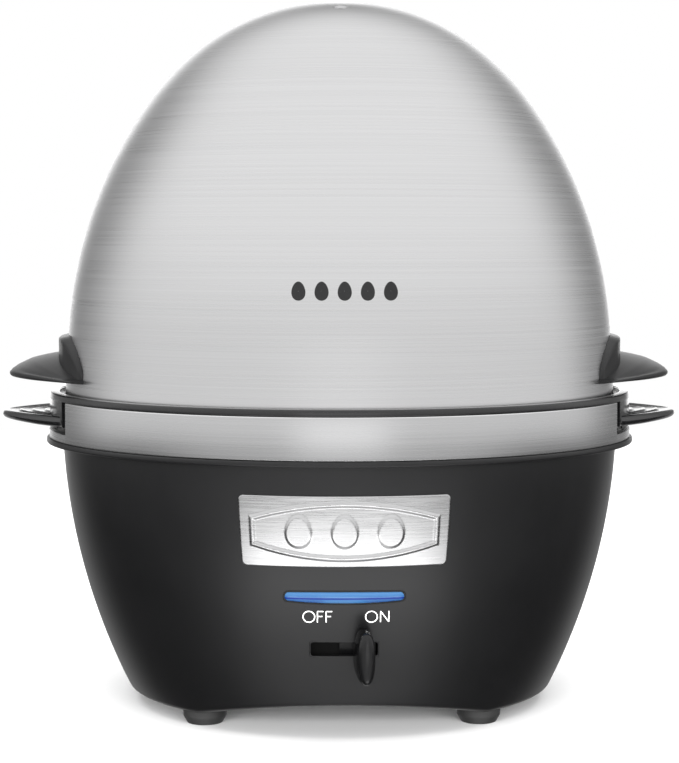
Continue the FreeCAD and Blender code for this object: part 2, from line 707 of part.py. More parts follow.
def make_ring(label, inner, outer, low, high):
    """A plain ring of rectangular section."""
    body = new_body(label)
    profile = sketch_on(body, "XZ_Plane")
    draw(profile, block(inner, low, outer, high))
    revolve(body, profile)


def notch_half(angle, radius):
    """Half width of a notch that spans an angle each way at a radius."""
    return radius * sine(angle)


def make_steel_band():
    """Steel band around the rim, curled over its top, with a notch for each tray handle."""
    body = new_body("steel_band")
    low = dim.lip_bottom + dim.lip_skin + dim.slip
    curl = dim.rim_top + 2 * dim.slip
    profile = sketch_on(body, "XZ_Plane")
    draw(profile, [(band_inner, low), (band_outer, low), (band_outer, dim.band_top),
                   (dim.rim_radius + 0.2, dim.band_top), (dim.rim_radius + 0.2, curl), (band_inner, curl)])
    revolve(body, profile)
    notch = sketch_on(body, "YZ_Plane")
    half = notch_half(dim.notch_half_angle + dim.band_notch_extra, band_outer)
    draw(notch, block(-half, dim.notch_floor - 0.2, half, dim.band_top + 5))
    cut(body, notch)


# ---- housing ---------------------------------------------------------------------------------

def lens_outline(extra):
    """Indicator window: a long slot with pointed round ends."""
    half = dim.lens_half + extra
    tall = dim.lens_height / 2 + extra
    shoulder = half - 2 * tall
    curve = tall * 2.5
    level = dim.lens_level
    return [(-half, level, curve), (-shoulder, level - tall), (shoulder, level - tall, curve),
            (half, level, curve), (shoulder, level + tall), (-shoulder, level + tall, curve)]


def make_housing():
    """Moulded base: curved wall, lip, rim wall and ledge, arched at the front and the back."""
    body = new_body("housing")
    skin = dim.wall_skin
    low = dim.wall_low
    lip = dim.lip_bottom
    lip_radius = dim.rim_radius + dim.lip_reach
    rim_outer = dim.rim_radius + dim.rim_wall
    profile = sketch_on(body, "XZ_Plane")
    draw(profile, [(wall_radius(low), low, dim.wall_curve), (wall_radius(lip), lip), (lip_radius, lip),
                   (lip_radius, lip + dim.lip_skin), (rim_outer, lip + dim.lip_skin),
                   (rim_outer, dim.rim_top), (dim.rim_radius, dim.rim_top),
                   (dim.rim_radius, dim.ledge_top), (ledge_radius, dim.ledge_top),
                   (wall_radius(lip, skin), lip, -(dim.wall_curve - skin)), (wall_radius(low, skin), low)])
    revolve(body, profile)
    arch = sketch_on(body, "XZ_Plane")
    draw_circle(arch, 0, dim.arch_crown - dim.arch_radius, dim.arch_radius)
    cut(body, arch)
    notch = sketch_on(body, "YZ_Plane")
    half = notch_half(dim.notch_half_angle, rim_outer)
    draw(notch, block(-half, dim.notch_floor, half, dim.rim_top + 5))
    cut(body, notch)
    openings = sketch_on(body, "XZ_Plane")
    draw(openings, lens_outline(dim.gap))
    slot_low = dim.switch_level - dim.slot_height / 2
    draw(openings, block(-dim.slot_half, slot_low, dim.slot_half, slot_low + dim.slot_height))
    cut(body, openings, both=False, back=True)
    boss = sketch_on(body, "XZ_Plane", -dim.cord_face)
    draw_circle(boss, 0, dim.cord_level, dim.cord_boss)
    pad(body, boss, dim.cord_boss_depth)
    bore = sketch_on(body, "XZ_Plane", -dim.cord_face)
    draw_circle(bore, 0, dim.cord_level, dim.cord_shank + 2 * dim.slip)
    cut(body, bore, 3 * dim.cord_boss_depth)
    wells = sketch_on(body, "XY_Plane")
    for _, across, along in CORNERS:
        draw_circle(wells, across * foot_place, along * foot_place, dim.foot_radius + dim.gap)
    cut(body, wells, dim.cover_bottom, both=False, back=True)
    post = sketch_on(body, "XY_Plane", cover_top, dim.boss_turn)
    rib = dim.boss_rib / 2
    start = boss_place + root(dim.boss_radius * dim.boss_radius - rib * rib)
    stop = wall_radius(cover_top, skin) + rib
    draw(post, [(start, -rib), (stop, -rib), (stop, rib), (start, rib, dim.boss_radius),
                (boss_place - dim.boss_radius, 0, dim.boss_radius)])
    column = pad(body, post, dim.boss_height)
    pilot = sketch_on(body, "XY_Plane", cover_top, dim.boss_turn)
    draw_circle(pilot, boss_place, 0, dim.screw_shank + dim.slip)
    hole = cut(body, pilot, dim.boss_height - 2, both=False, back=True)
    repeat_round(body, [column, hole], 4)


def make_bottom_cover():
    """Flat cover that closes the housing and carries the feet."""
    body = new_body("bottom_cover")
    disc = sketch_on(body, "XY_Plane", dim.cover_bottom)
    draw_circle(disc, 0, 0, cover_radius)
    pad(body, disc, dim.cover_skin)
    pegs = sketch_on(body, "XY_Plane", dim.cover_bottom)
    for _, across, along in CORNERS:
        draw_circle(pegs, across * foot_place, along * foot_place, dim.foot_peg + dim.slip)
    for side in SIDES:
        draw_circle(pegs, side * dim.bracket_screw_side, -bracket_screw_row, dim.screw_shank + dim.slip)
    cut(body, pegs, 3 * dim.cover_skin)
    hole = sketch_on(body, "XY_Plane", dim.cover_bottom, dim.boss_turn)
    draw_circle(hole, boss_place, 0, dim.screw_shank + 2 * dim.slip)
    repeat_round(body, [cut(body, hole, 3 * dim.cover_skin)], 4)


def make_foot(place, across, along):
    """Rubber foot with a peg that presses into the cover."""
    body = new_body(f"foot_{place}")
    profile = sketch_on(body, "XZ_Plane")
    peg = dim.foot_peg
    top = dim.cover_bottom
    draw(profile, [(0, 0), (dim.foot_radius - dim.foot_chamfer, 0), (dim.foot_radius, dim.foot_chamfer),
                   (dim.foot_radius, top), (peg, top), (peg, cover_top - 0.2), (0, cover_top - 0.2)])
    revolve(body, profile)
    bind(body, "Placement.Base.x", across * foot_place)
    bind(body, "Placement.Base.y", along * foot_place)


def make_cover_screws():
    """Four screws that hold the bottom cover to the housing's bosses."""
    screws = []
    for turn in range(4):
        angle = dim.boss_turn + 90 * turn
        start = [boss_place * cosine(angle), boss_place * sine(angle),
                 dim.cover_bottom - dim.screw_head_height]
        screws.append(screw(f"cover_screw_{turn}", start, dim.cover_screw_length, UP))
    group("bottom_cover_screws", screws)


def wall_band(body, inner, outer, low, high, angle):
    """A strip that follows the wall between two insets, centred on the front."""
    strip = sketch_on(body, "XZ_Plane")
    draw(strip, [(wall_radius(low, outer), low, dim.wall_curve - outer), (wall_radius(high, outer), high),
                 (wall_radius(high, inner), high, -(dim.wall_curve - inner)),
                 (wall_radius(low, inner), low)])
    feature = revolve(body, strip, angle)
    body.Placement = FreeCAD.Placement(FreeCAD.Vector(), FreeCAD.Rotation(UP, -90))
    return feature


def make_nameplate():
    """Thin steel plate that wraps around the front of the wall."""
    body = new_body("nameplate")
    high = dim.name_low + dim.name_height
    angle = 2 * dim.name_half_angle
    wall_band(body, -dim.slip, -(dim.slip + dim.name_skin), dim.name_low, high, angle)
    round_edges(body, dim.name_corner, lambda edge: edge.Length < 2 * dim.name_skin.value)


def make_indicator_lens():
    """Clear blue bar that fills the window above the switch."""
    body = new_body("indicator_lens")
    half = dim.lens_height / 2 + 1
    wall_band(body, dim.wall_skin + 0.6, -dim.lens_proud, dim.lens_level - half, dim.lens_level + half, 40)
    trim = sketch_on(body, "YZ_Plane")
    draw(trim, block(-40, dim.lens_level - 9, 40, dim.lens_level + 9))
    draw(trim, lens_outline(0))
    cut(body, trim)


def make_cord_bushing():
    """Bushing in the back wall with the bore for the mains cord."""
    body = new_body("cord_bushing")
    profile = sketch_on(body, "XZ_Plane")
    bore = dim.cord_bore
    shank = dim.cord_shank
    clip = shank + dim.cord_clip_reach
    collar = shank + dim.cord_collar_reach
    inside = -(dim.cord_clip + dim.cord_clip_skin)
    draw(profile, [(bore, inside), (clip, inside), (clip, -dim.cord_clip), (shank, -dim.cord_clip),
                   (shank, 0), (collar, 0), (collar, dim.cord_clip_skin), (bore, dim.cord_clip_skin)])
    revolve(body, profile)
    body.Placement = FreeCAD.Placement(FreeCAD.Vector(), FreeCAD.Rotation(ACROSS, -90))
    bind(body, "Placement.Base.y", dim.cord_face)
    bind(body, "Placement.Base.z", dim.cord_level)


# ---- switch ----------------------------------------------------------------------------------

def make_switch_knob():
    """Sliding knob: an upright blade outside, a stem in the slot and a carriage inside."""
    body = new_body("switch_knob")
    half = dim.knob_height / 2
    low = dim.switch_level - half
    high = dim.switch_level + half
    near = -dim.gap * 2
    far = -dim.knob_proud
    blade = sketch_on(body, "YZ_Plane", dim.knob_offset)
    draw(blade, [(-wall_radius(low, near), low), (-wall_radius(high, near), high),
                 (-wall_radius(high - 1.5, far), high - 1.5), (-wall_radius(low + 1.5, far), low + 1.5)])
    pad(body, blade, dim.knob_width, both=True)
    level = dim.switch_level
    wide = dim.knob_width.value
    round_edges(body, dim.knob_width * 0.46, lambda edge: abs(edge.BoundBox.YLength) > 5
                and edge.BoundBox.XLength < wide / 10)
    stem = sketch_on(body, "XZ_Plane", wall_radius(level) - dim.stem_back)
    reach = dim.slot_half - dim.knob_offset - dim.gap
    tall = dim.slot_height / 2 - dim.gap
    draw(stem, block(dim.knob_offset - reach, level - tall, dim.knob_offset + reach, level + tall))
    pad(body, stem, dim.stem_length)
    carriage = sketch_on(body, "XZ_Plane", wall_radius(level) - dim.carriage_back)
    draw(carriage, block(dim.knob_offset - dim.carriage_half, level - dim.carriage_tall,
                         dim.knob_offset + dim.carriage_half, level + dim.carriage_tall))
    pad(body, carriage, dim.carriage_skin)
    link = sketch_on(body, "XZ_Plane", wall_radius(level) - dim.link_back)
    draw(link, block(dim.knob_offset - dim.link_half, level - dim.link_half / 2,
                     dim.knob_offset + dim.link_half, level + dim.link_half / 2))
    pad(body, link, dim.link_half)
    nub = sketch_on(body, "XZ_Plane", wall_radius(level) - dim.nub_back)
    draw(nub, block(dim.knob_offset - dim.nub_half, level - dim.nub_half,
                    dim.knob_offset + dim.nub_half, level + dim.nub_half))
    pad(body, nub, dim.nub_length)


switch_front = wall_radius(dim.switch_level) - dim.switch_back     # front of the electric switch
bracket_front = switch_front - dim.switch_depth - 2 * dim.slip    # front of the bracket behind it


def make_slide_switch():
    """Slide switch that the knob works, with three solder lugs below."""
    level = dim.switch_level
    case = solid_box("switch_case", (-dim.switch_wide / 2, -switch_front, level - dim.switch_tall / 2),
                     (dim.switch_wide, dim.switch_depth, dim.switch_tall))
    lugs = [solid_box(f"switch_lug_{n}", (place - 1, -switch_front + 2.5, level - 11), (2, 0.6, 5))
            for n, place in enumerate((-dim.lug_pitch, 0, dim.lug_pitch))]
    joined("slide_switch", [case, *lugs])


def make_switch_bracket():
    """Bent sheet that stands on the cover and carries the switch and the indicator board."""
    body = new_body("switch_bracket")
    foot = cover_top + dim.slip
    front = -bracket_front
    side = sketch_on(body, "YZ_Plane")
    back = front + dim.bracket_foot
    face = front + dim.bracket_skin
    draw(side, [(front, foot), (back, foot), (back, foot + dim.bracket_skin),
                (face, foot + dim.bracket_skin), (face, dim.bracket_top), (front, dim.bracket_top)])
    pad(body, side, dim.bracket_width, both=True)
    window = sketch_on(body, "XZ_Plane")
    draw(window, block(-9, foot + dim.bracket_skin + dim.slip, 9, foot + 6.8))
    cut(body, window, both=False, back=True)
    holes = sketch_on(body, "XY_Plane", foot)
    for place in SIDES:
        draw_circle(holes, place * dim.bracket_screw_side, -bracket_screw_row, dim.screw_shank + dim.slip)
    cut(body, holes, 4)


def make_bracket_screws():
    """Two screws that hold the bracket to the cover."""
    head = cover_top + dim.bracket_skin + dim.screw_head_height + dim.slip
    screws = [screw(f"bracket_screw_{n}", [place * dim.bracket_screw_side, -bracket_screw_row, head],
                    dim.bracket_screw_length, -UP)
              for n, place in enumerate(SIDES)]
    group("bracket_screws", screws)


board_back = switch_front + dim.board_gap      # back face of the indicator board


def make_indicator_board():
    """Circuit board behind the indicator lens."""
    solid_box("indicator_board", (-dim.board_wide / 2, -(board_back + dim.board_skin),
                                  dim.lens_level - dim.board_tall / 2),
              (dim.board_wide, dim.board_skin, dim.board_tall))


def make_board_spacers():
    """Two spacers between the bracket and the board."""
    base = [-bracket_front, board_back - bracket_front]
    spacers = [solid_cylinder(f"spacer_{n}", (place * dim.spacer_side, base[0], dim.lens_level + 2.5),
                              dim.spacer_radius, base[1],
                              FreeCAD.Vector(0, -1, 0)) for n, place in enumerate(SIDES)]
    group("board_spacers", spacers)


def make_indicator_leds():
    """Three lamps on the board that light the lens."""
    front = board_back + dim.board_skin
    lamps = []
    for number, place in enumerate((-dim.lamp_pitch, 0, dim.lamp_pitch)):
        base = (place, -front, dim.lens_level)
        stem = solid_cylinder(f"lamp_stem_{number}", base, dim.lamp_radius, dim.lamp_height,
                              FreeCAD.Vector(0, -1, 0))
        cap = doc.addObject("Part::Sphere", f"lamp_cap_{number}")
        bind(cap, "Radius", dim.lamp_radius)
        for axis, value in zip("xyz", (place, -front - dim.lamp_height, dim.lens_level)):
            bind(cap, f"Placement.Base.{axis}", value)
        lamps.append(joined(f"lamp_{number}", [stem, cap]))
    group("indicator_leds", lamps)


# ---- heater and wiring -----------------------------------------------------------------------

element_level = dim.plate_floor - dim.slip - dim.element_tube
clamp_top = element_level - dim.element_tube - 3 * dim.slip
end_angle = dim.element_gap_angle / 2
end_x = dim.element_ring * sine(end_angle)
end_y = dim.element_ring * cosine(end_angle)


def make_heating_element():
    """Tubular heater: an open ring whose two ends turn down at the back."""
    tube = doc.addObject("Part::Torus", "element_ring_tube")
    bind(tube, "Radius1", dim.element_ring)
    bind(tube, "Radius2", dim.element_tube)
    bind(tube, "Angle3", 360 - dim.element_gap_angle)
    start = 90 + dim.element_gap_angle.value / 2
    tube.Placement = FreeCAD.Placement(FreeCAD.Vector(), FreeCAD.Rotation(UP, start))
    bind(tube, "Placement.Base.z", element_level)
    ends = []
    for number, side in enumerate(SIDES):
        knee = doc.addObject("Part::Sphere", f"element_knee_{number}")
        bind(knee, "Radius", dim.element_tube)
        for axis, value in zip("xyz", (side * end_x, end_y, element_level)):
            bind(knee, f"Placement.Base.{axis}", value)
        leg = solid_cylinder(f"element_leg_{number}", (side * end_x, end_y, element_level - dim.end_length),
                             dim.element_tube - 0.2, dim.end_length)
        ends += [knee, leg]
    joined("heating_element", [tube, *ends])


def make_element_clamp():
    """Bar that presses the element against the plate."""
    reach = dim.element_ring + 5
    bar = solid_box("clamp_bar", (-reach, -dim.clamp_width / 2, clamp_top - dim.clamp_skin),
                    (2 * reach, dim.clamp_width, dim.clamp_skin))
    hole = solid_cylinder("clamp_hole", (0, 0, clamp_top - 5), dim.stud_radius + 2 * dim.slip, 10)
    without("element_clamp", bar, [hole])


def make_plate_stud():
    """Threaded stud under the middle of the heating plate."""
    solid_cylinder("plate_stud", (0, 0, dim.stud_bottom), dim.stud_radius, dim.plate_floor - dim.stud_bottom)


def make_stud_nuts():
    """Two hexagon nuts that hold the clamp and the heat shield on the stud."""
    nuts = []
    clamp_nut = clamp_top - dim.clamp_skin - dim.nut_height - dim.slip
    shield_nut = dim.shield_level - dim.nut_height - dim.slip
    for number, level in enumerate((clamp_nut, shield_nut)):
        prism = doc.addObject("Part::Prism", f"nut_prism_{number}")
        prism.Polygon = 6
        bind(prism, "Circumradius", dim.nut_radius)
        bind(prism, "Height", dim.nut_height)
        bind(prism, "Placement.Base.z", level)
        thread = solid_cylinder(f"nut_thread_{number}", (0, 0, level - 1),
                                dim.stud_radius + dim.slip, dim.nut_height + 2)
        nuts.append(without(f"nut_{number}", prism, [thread]))
    group("stud_nuts", nuts)


def make_heat_shield():
    """Disc that keeps the heat off the wiring, with holes for the stud and the element's ends."""
    body = new_body("heat_shield")
    disc = sketch_on(body, "XY_Plane", dim.shield_level)
    draw_circle(disc, 0, 0, dim.shield_radius)
    pad(body, disc, dim.shield_skin)
    holes = sketch_on(body, "XY_Plane", dim.shield_level)
    draw_circle(holes, 0, 0, dim.stud_radius + 2 * dim.slip)
    for side in SIDES:
        draw_circle(holes, side * end_x, end_y, dim.end_hole)
    cut(body, holes, 5 * dim.shield_skin)


def make_thermostat():
    """Round thermostat that touches the plate."""
    low = dim.plate_floor - dim.thermostat_height
    case = solid_cylinder("thermostat_case", (0, dim.thermostat_back, low),
                          dim.thermostat_radius, dim.thermostat_height - dim.slip)
    tabs = [solid_box(f"thermostat_tab_{n}", (place - 2, dim.thermostat_back - 0.4,
                                                  low - 3), (4, 0.8, 4))
            for n, place in enumerate((-4, 4))]
    joined("thermostat", [case, *tabs])


def make_thermal_fuse():
    """Small fuse under the plate."""
    level = dim.plate_floor - dim.fuse_radius - 2 * dim.slip
    case = solid_cylinder("fuse_case", (-dim.fuse_half, -dim.fuse_front, level), dim.fuse_radius,
                          2 * dim.fuse_half, ACROSS)
    pins = solid_cylinder("fuse_pins", (-dim.fuse_half - 6, -dim.fuse_front, level), 0.5,
                          2 * dim.fuse_half + 12, ACROSS)
    joined("thermal_fuse", [case, pins])


wells_row = dim.terminal_front + dim.terminal_depth / 2


def make_terminal_block():
    """Terminal block on the bottom cover, where the cord's wires end."""
    floor = cover_top + dim.slip
    case = solid_box("terminal_case", (-dim.terminal_half, dim.terminal_front, floor),
                     (2 * dim.terminal_half, dim.terminal_depth, dim.terminal_tall))
    wells = [solid_cylinder(f"terminal_well_{n}", (place, wells_row, floor + 8), 2.4, 6)
             for n, place in enumerate((-dim.terminal_pitch, 0, dim.terminal_pitch))]
    without("terminal_block", case, wells)


def make_buzzer():
    """Round sounder on the bottom cover."""
    floor = cover_top + dim.slip
    place = (-dim.buzzer_left, dim.buzzer_back)
    case = solid_cylinder("buzzer_case", (*place, floor), dim.buzzer_radius, dim.buzzer_tall)
    port = solid_cylinder("buzzer_port", (*place, floor + 6), 2, 4)
    without("buzzer", case, [port])


def make_lead(label, points, radius, bend):
    """An insulated wire: straight runs joined by tangent arcs."""
    path = [FreeCAD.Vector(*[Dim.of(part).value for part in point]) for point in points]
    edges = []
    start = path[0]
    for before, corner, after in zip(path, path[1:], path[2:]):
        back = (before - corner).normalize()
        ahead = (after - corner).normalize()
        turn = math.pi - back.getAngle(ahead)
        setback = bend * math.tan(turn / 2)
        enter = corner + back * setback
        leave = corner + ahead * setback
        centre = corner + (back + ahead).normalize() * (bend / math.cos(turn / 2))
        middle = centre + (corner - centre).normalize() * bend
        edges.append(Part.LineSegment(start, enter).toShape())
        edges.append(Part.Arc(enter, middle, leave).toShape())
        start = leave
    edges.append(Part.LineSegment(start, path[-1]).toShape())
    spine = Part.Wire(edges)
    ring = Part.Wire([Part.Circle(path[0], path[1] - path[0], radius).toShape()])
    wire = doc.addObject("Part::Feature", label)
    wire.Label = label
    wire.Shape = spine.makePipeShell([ring], True, False)


def make_leads():
    """Wires from the terminal block to the switch and to the element."""
    low = cover_top + dim.wire_low
    front = -dim.wire_front
    lane = dim.lug_pitch
    lug = (-switch_front + 3, dim.switch_level - 12.3)
    tip = element_level - dim.end_length - dim.slip
    thin = dim.wire_thin.value
    feed = -dim.terminal_pitch
    above = cover_top + dim.terminal_tall + 0.2
    make_lead("lead_block_to_switch", [(-lane, dim.terminal_front - 0.1, low + 1), (-lane, 10, low),
                                       (-lane, front, low), (-lane, *lug)], thin, 5.0)
    make_lead("lead_switch_to_element", [(lane, *lug), (lane, front, low),
                                         (4 * lane, 8, 2 * low - cover_top + 1),
                                         (end_x, end_y, cover_top + 24), (end_x, end_y, tip)], thin, 5.0)
    make_lead("lead_block_to_element", [(feed, wells_row, above), (feed, wells_row, above + 8.8),
                                        (-end_x, end_y, cover_top + 30), (-end_x, end_y, tip)],
              dim.wire_thick.value, 4.0)


# ---- build, check and write ------------------------------------------------------------------

NODES = ["lid_shell", "lid_handle_left", "lid_handle_right", "lid_handle_screws", "egg_tray",
         "heating_plate",
         "plate_gasket", "steel_band", "housing", "bottom_cover", "bottom_cover_screws", "nameplate",
         "indicator_lens", "cord_bushing", "switch_knob", "slide_switch", "switch_bracket", "bracket_screws",
         "indicator_board", "board_spacers", "indicator_leds", "heating_element", "element_clamp",
         "plate_stud", "stud_nuts", "heat_shield", "thermostat", "thermal_fuse", "terminal_block", "buzzer",
         "lead_block_to_switch", "lead_switch_to_element", "lead_block_to_element"]
NODES += [f"foot_{place}" for place, _, _ in CORNERS]


def build():
    """Build every sub-part."""
    make_lid_shell()
    make_lid_handle("lid_handle_right", 0)
    make_lid_handle("lid_handle_left", 180)
    make_lid_handle_screws()
    make_egg_tray()
    make_heating_plate()
    gasket_outer = dim.rim_radius - 2 * dim.gap
    make_ring("plate_gasket", ledge_radius + dim.gap, gasket_outer, dim.ledge_top, plate_flange)
    make_steel_band()
    make_housing()
    make_bottom_cover()
    for place, across, along in CORNERS:
        make_foot(place, across, along)
    make_cover_screws()
    make_nameplate()
    make_indicator_lens()
    make_cord_bushing()
    make_switch_knob()
    make_slide_switch()
    make_switch_bracket()
    make_bracket_screws()
    make_indicator_board()
    make_board_spacers()
    make_indicator_leds()
    make_heating_element()
    make_element_clamp()
    make_plate_stud()
    make_stud_nuts()
    make_heat_shield()
    make_thermostat()
    make_thermal_fuse()
    make_terminal_block()
    make_buzzer()
    make_leads()


def check_all():
    """Stop when an object failed to compute or a sub-part has no valid shape."""
    for item in doc.Objects:
        if {"Invalid", "Error"} & set(item.State):
            raise RuntimeError(f"{item.Name} is {item.State}")
    for name in NODES:
        shape = doc.getObjectsByLabel(name)[0].Shape
        if shape.isNull() or not shape.isValid() or not shape.Solids:
            raise RuntimeError(f"{name} has no valid solid")


def write_all():
    """Write one STEP file for each sub-part."""
    os.makedirs("parts", exist_ok=True)
    for name in NODES:
        shape = doc.getObjectsByLabel(name)[0].Shape
        shape.exportStep(f"parts/{name}.step")
        box = shape.BoundBox
        print(f"{name:24s} {len(shape.Solids)} solid(s) {shape.Volume:10.1f} mm3 "
              f"x {box.XMin:.1f}..{box.XMax:.1f} y {box.YMin:.1f}..{box.YMax:.1f} "
              f"z {box.ZMin:.1f}..{box.ZMax:.1f}")


build()
doc.recompute()
check_all()
write_all()
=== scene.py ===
import logging
import math
from dataclasses import dataclass, field
from enum import Enum
from typing import Callable, Iterable, Sequence

import bmesh
import bpy
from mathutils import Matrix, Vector


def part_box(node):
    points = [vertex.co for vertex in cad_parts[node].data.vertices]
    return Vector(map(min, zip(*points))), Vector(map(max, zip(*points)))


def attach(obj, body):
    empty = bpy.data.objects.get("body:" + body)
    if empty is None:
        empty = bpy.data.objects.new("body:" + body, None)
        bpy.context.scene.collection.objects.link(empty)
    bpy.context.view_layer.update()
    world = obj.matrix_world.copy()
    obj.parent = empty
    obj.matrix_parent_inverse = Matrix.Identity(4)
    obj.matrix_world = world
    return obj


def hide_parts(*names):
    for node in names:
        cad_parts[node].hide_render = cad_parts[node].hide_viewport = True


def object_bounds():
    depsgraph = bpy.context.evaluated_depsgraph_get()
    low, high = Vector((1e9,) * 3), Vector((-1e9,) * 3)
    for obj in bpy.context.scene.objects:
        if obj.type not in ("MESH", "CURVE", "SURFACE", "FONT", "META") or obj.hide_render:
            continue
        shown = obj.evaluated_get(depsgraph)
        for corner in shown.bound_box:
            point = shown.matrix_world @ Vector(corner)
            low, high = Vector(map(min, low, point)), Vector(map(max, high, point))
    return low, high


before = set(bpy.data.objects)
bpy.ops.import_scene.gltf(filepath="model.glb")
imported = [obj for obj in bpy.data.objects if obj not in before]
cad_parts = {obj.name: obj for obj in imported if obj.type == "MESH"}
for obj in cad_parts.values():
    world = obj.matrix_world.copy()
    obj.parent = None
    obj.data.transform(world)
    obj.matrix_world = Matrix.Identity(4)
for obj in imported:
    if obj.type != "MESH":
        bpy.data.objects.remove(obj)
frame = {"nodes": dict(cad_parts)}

CAD_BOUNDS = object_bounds()
MM = 0.001
WELD = 2.0e-6
LATHE_STEPS = 256
DOME_STEPS = 288
LOG = logging.getLogger("egg_cooker")

Corner = tuple[float, float, float]
Point = tuple[float, float]
Ring = list[Corner]


class Body(Enum):
    """The rigid bodies that pieces ride on."""

    BASE = "base"
    TRAY = "tray"
    LID = "lid"
    SWITCH = "switch"


class Grain(Enum):
    """How a moulded surface was left by its mould: grains per metre and depth in metres."""

    SATIN = (2600.0, 6.0e-6)
    MATT = (1700.0, 1.4e-5)
    POLISHED = (900.0, 2.0e-6)


# ---- shader maths ----------------------------------------------------------------------------

class Wire:
    """An output socket whose arithmetic adds Math nodes to its graph."""

    def __init__(self, graph: "Graph", socket: bpy.types.NodeSocket) -> None:
        """Keep the socket and the graph it belongs to."""
        self.graph = graph
        self.socket = socket

    def __add__(self, other: "Wire | float") -> "Wire":
        """Sum."""
        return self.graph.math("ADD", self, other)

    def __sub__(self, other: "Wire | float") -> "Wire":
        """Difference."""
        return self.graph.math("SUBTRACT", self, other)

    def __mul__(self, other: "Wire | float") -> "Wire":
        """Product."""
        return self.graph.math("MULTIPLY", self, other)

    def __truediv__(self, other: "Wire | float") -> "Wire":
        """Quotient."""
        return self.graph.math("DIVIDE", self, other)

    def __pow__(self, other: "Wire | float") -> "Wire":
        """Power."""
        return self.graph.math("POWER", self, other)

    def __rsub__(self, other: float) -> "Wire":
        """A number less this value."""
        return self.graph.math("SUBTRACT", other, self)

    def __rtruediv__(self, other: float) -> "Wire":
        """A number divided by this value."""
        return self.graph.math("DIVIDE", other, self)

    __radd__ = __add__
    __rmul__ = __mul__

    def __abs__(self) -> "Wire":
        """Absolute value."""
        return self.graph.math("ABSOLUTE", self)

    def root(self) -> "Wire":
        """Square root."""
        return self.graph.math("SQRT", self)

    def ramp(self, low: float, high: float) -> "Wire":
        """Rise smoothly from 0 at low to 1 at high.

        Args:
            low: the value that gives 0.
            high: the value that gives 1.

        Returns:
            The eased value between 0 and 1.
        """
        settings = {"interpolation_type": "SMOOTHSTEP"}
        values = {"Value": self, "From Min": low, "From Max": high}
        return self.graph.node("ShaderNodeMapRange", settings, values)


class Graph:
    """The nodes of one material or world."""

    def __init__(self, tree: bpy.types.NodeTree) -> None:
        """Empty the tree.

        Args:
            tree: the node tree to fill.
        """
        self.tree = tree
        tree.nodes.clear()

    def add(self, kind: str, settings: dict | None = None, values: dict | None = None) -> bpy.types.Node:
        """Add a node.

        Args:
            kind: the node's type.
            settings: properties of the node, set first.
            values: a number, colour, vector or Wire for each input socket.

        Returns:
            The node.
        """
        made = self.tree.nodes.new(kind)
        for name, value in (settings or {}).items():
            setattr(made, name, value)
        for name, value in (values or {}).items():
            self.feed(made.inputs[name], value)
        return made

    def node(self, kind: str, settings: dict | None = None, values: dict | None = None,
             output: int | str = 0) -> Wire:
        """Add a node, and give back one of its outputs."""
        return Wire(self, self.add(kind, settings, values).outputs[output])

    def feed(self, socket: bpy.types.NodeSocket, value: "Wire | float | Sequence[float]") -> None:
        """Link a wire to a socket, or set the socket's own value.

        Args:
            socket: the input socket.
            value: what the socket gets.
        """
        if isinstance(value, Wire):
            self.tree.links.new(value.socket, socket)
        else:
            socket.default_value = value

    def math(self, operation: str, *values: "Wire | float") -> Wire:
        """Add a Math node for one operation."""
        return self.node("ShaderNodeMath", {"operation": operation}, dict(enumerate(values)))

    def mix(self, factor: Wire, low: "Wire | Sequence[float]", high: "Wire | Sequence[float]") -> Wire:
        """Mix two colours.

        Args:
            factor: 0 gives low and 1 gives high.
            low: a colour.
            high: a colour.

        Returns:
            The mixed colour.
        """
        return self.node("ShaderNodeMix", {"data_type": "RGBA"}, {0: factor, 6: low, 7: high}, output=2)

    def place(self) -> tuple[Wire, Wire, Wire]:
        """The surface point in the object's frame, as x, y and z in metres.

        Returns:
            The wires for x, y and z.
        """
        point = self.node("ShaderNodeTexCoord", output="Object")
        split = self.node("ShaderNodeSeparateXYZ", {}, {0: point})
        outputs = split.socket.node.outputs
        return tuple(Wire(self, outputs[axis]) for axis in "XYZ")

    def noise(self, x: "Wire | float", y: "Wire | float", z: "Wire | float", detail: float = 2.0) -> Wire:
        """Noise over a scaled point.

        Args:
            x: first coordinate.
            y: second coordinate.
            z: third coordinate.
            detail: octaves of finer noise.

        Returns:
            Noise between 0 and 1.
        """
        point = self.node("ShaderNodeCombineXYZ", {}, {0: x, 1: y, 2: z})
        return self.node("ShaderNodeTexNoise", {}, {"Vector": point, "Scale": 1.0, "Detail": detail})

    def bump(self, height: Wire, depth: float) -> Wire:
        """A normal raised by a height map of a real depth in metres."""
        return self.node("ShaderNodeBump", {}, {"Height": height, "Distance": depth, "Strength": 1.0})


def colour(value: Sequence[float], factor: float = 1.0) -> tuple[float, float, float, float]:
    """A colour with alpha, lightened or darkened by a factor."""
    return (*(min(1.0, part * factor) for part in value), 1.0)


@dataclass(frozen=True)
class Finish:
    """What all finishes share: a name and one Principled shader."""

    name: str

    def paint(self, graph: Graph) -> dict:
        """The shader's socket values and links.

        Args:
            graph: the material's empty graph.

        Returns:
            A value or wire for each socket that the finish sets.
        """
        raise NotImplementedError

    def material(self) -> bpy.types.Material:
        """The finished material.

        Returns:
            The material.
        """
        made = bpy.data.materials.new(self.name)
        made.use_nodes = True
        graph = Graph(made.node_tree)
        shader = graph.node("ShaderNodeBsdfPrincipled", {}, self.paint(graph))
        graph.add("ShaderNodeOutputMaterial", {}, {"Surface": shader})
        return made


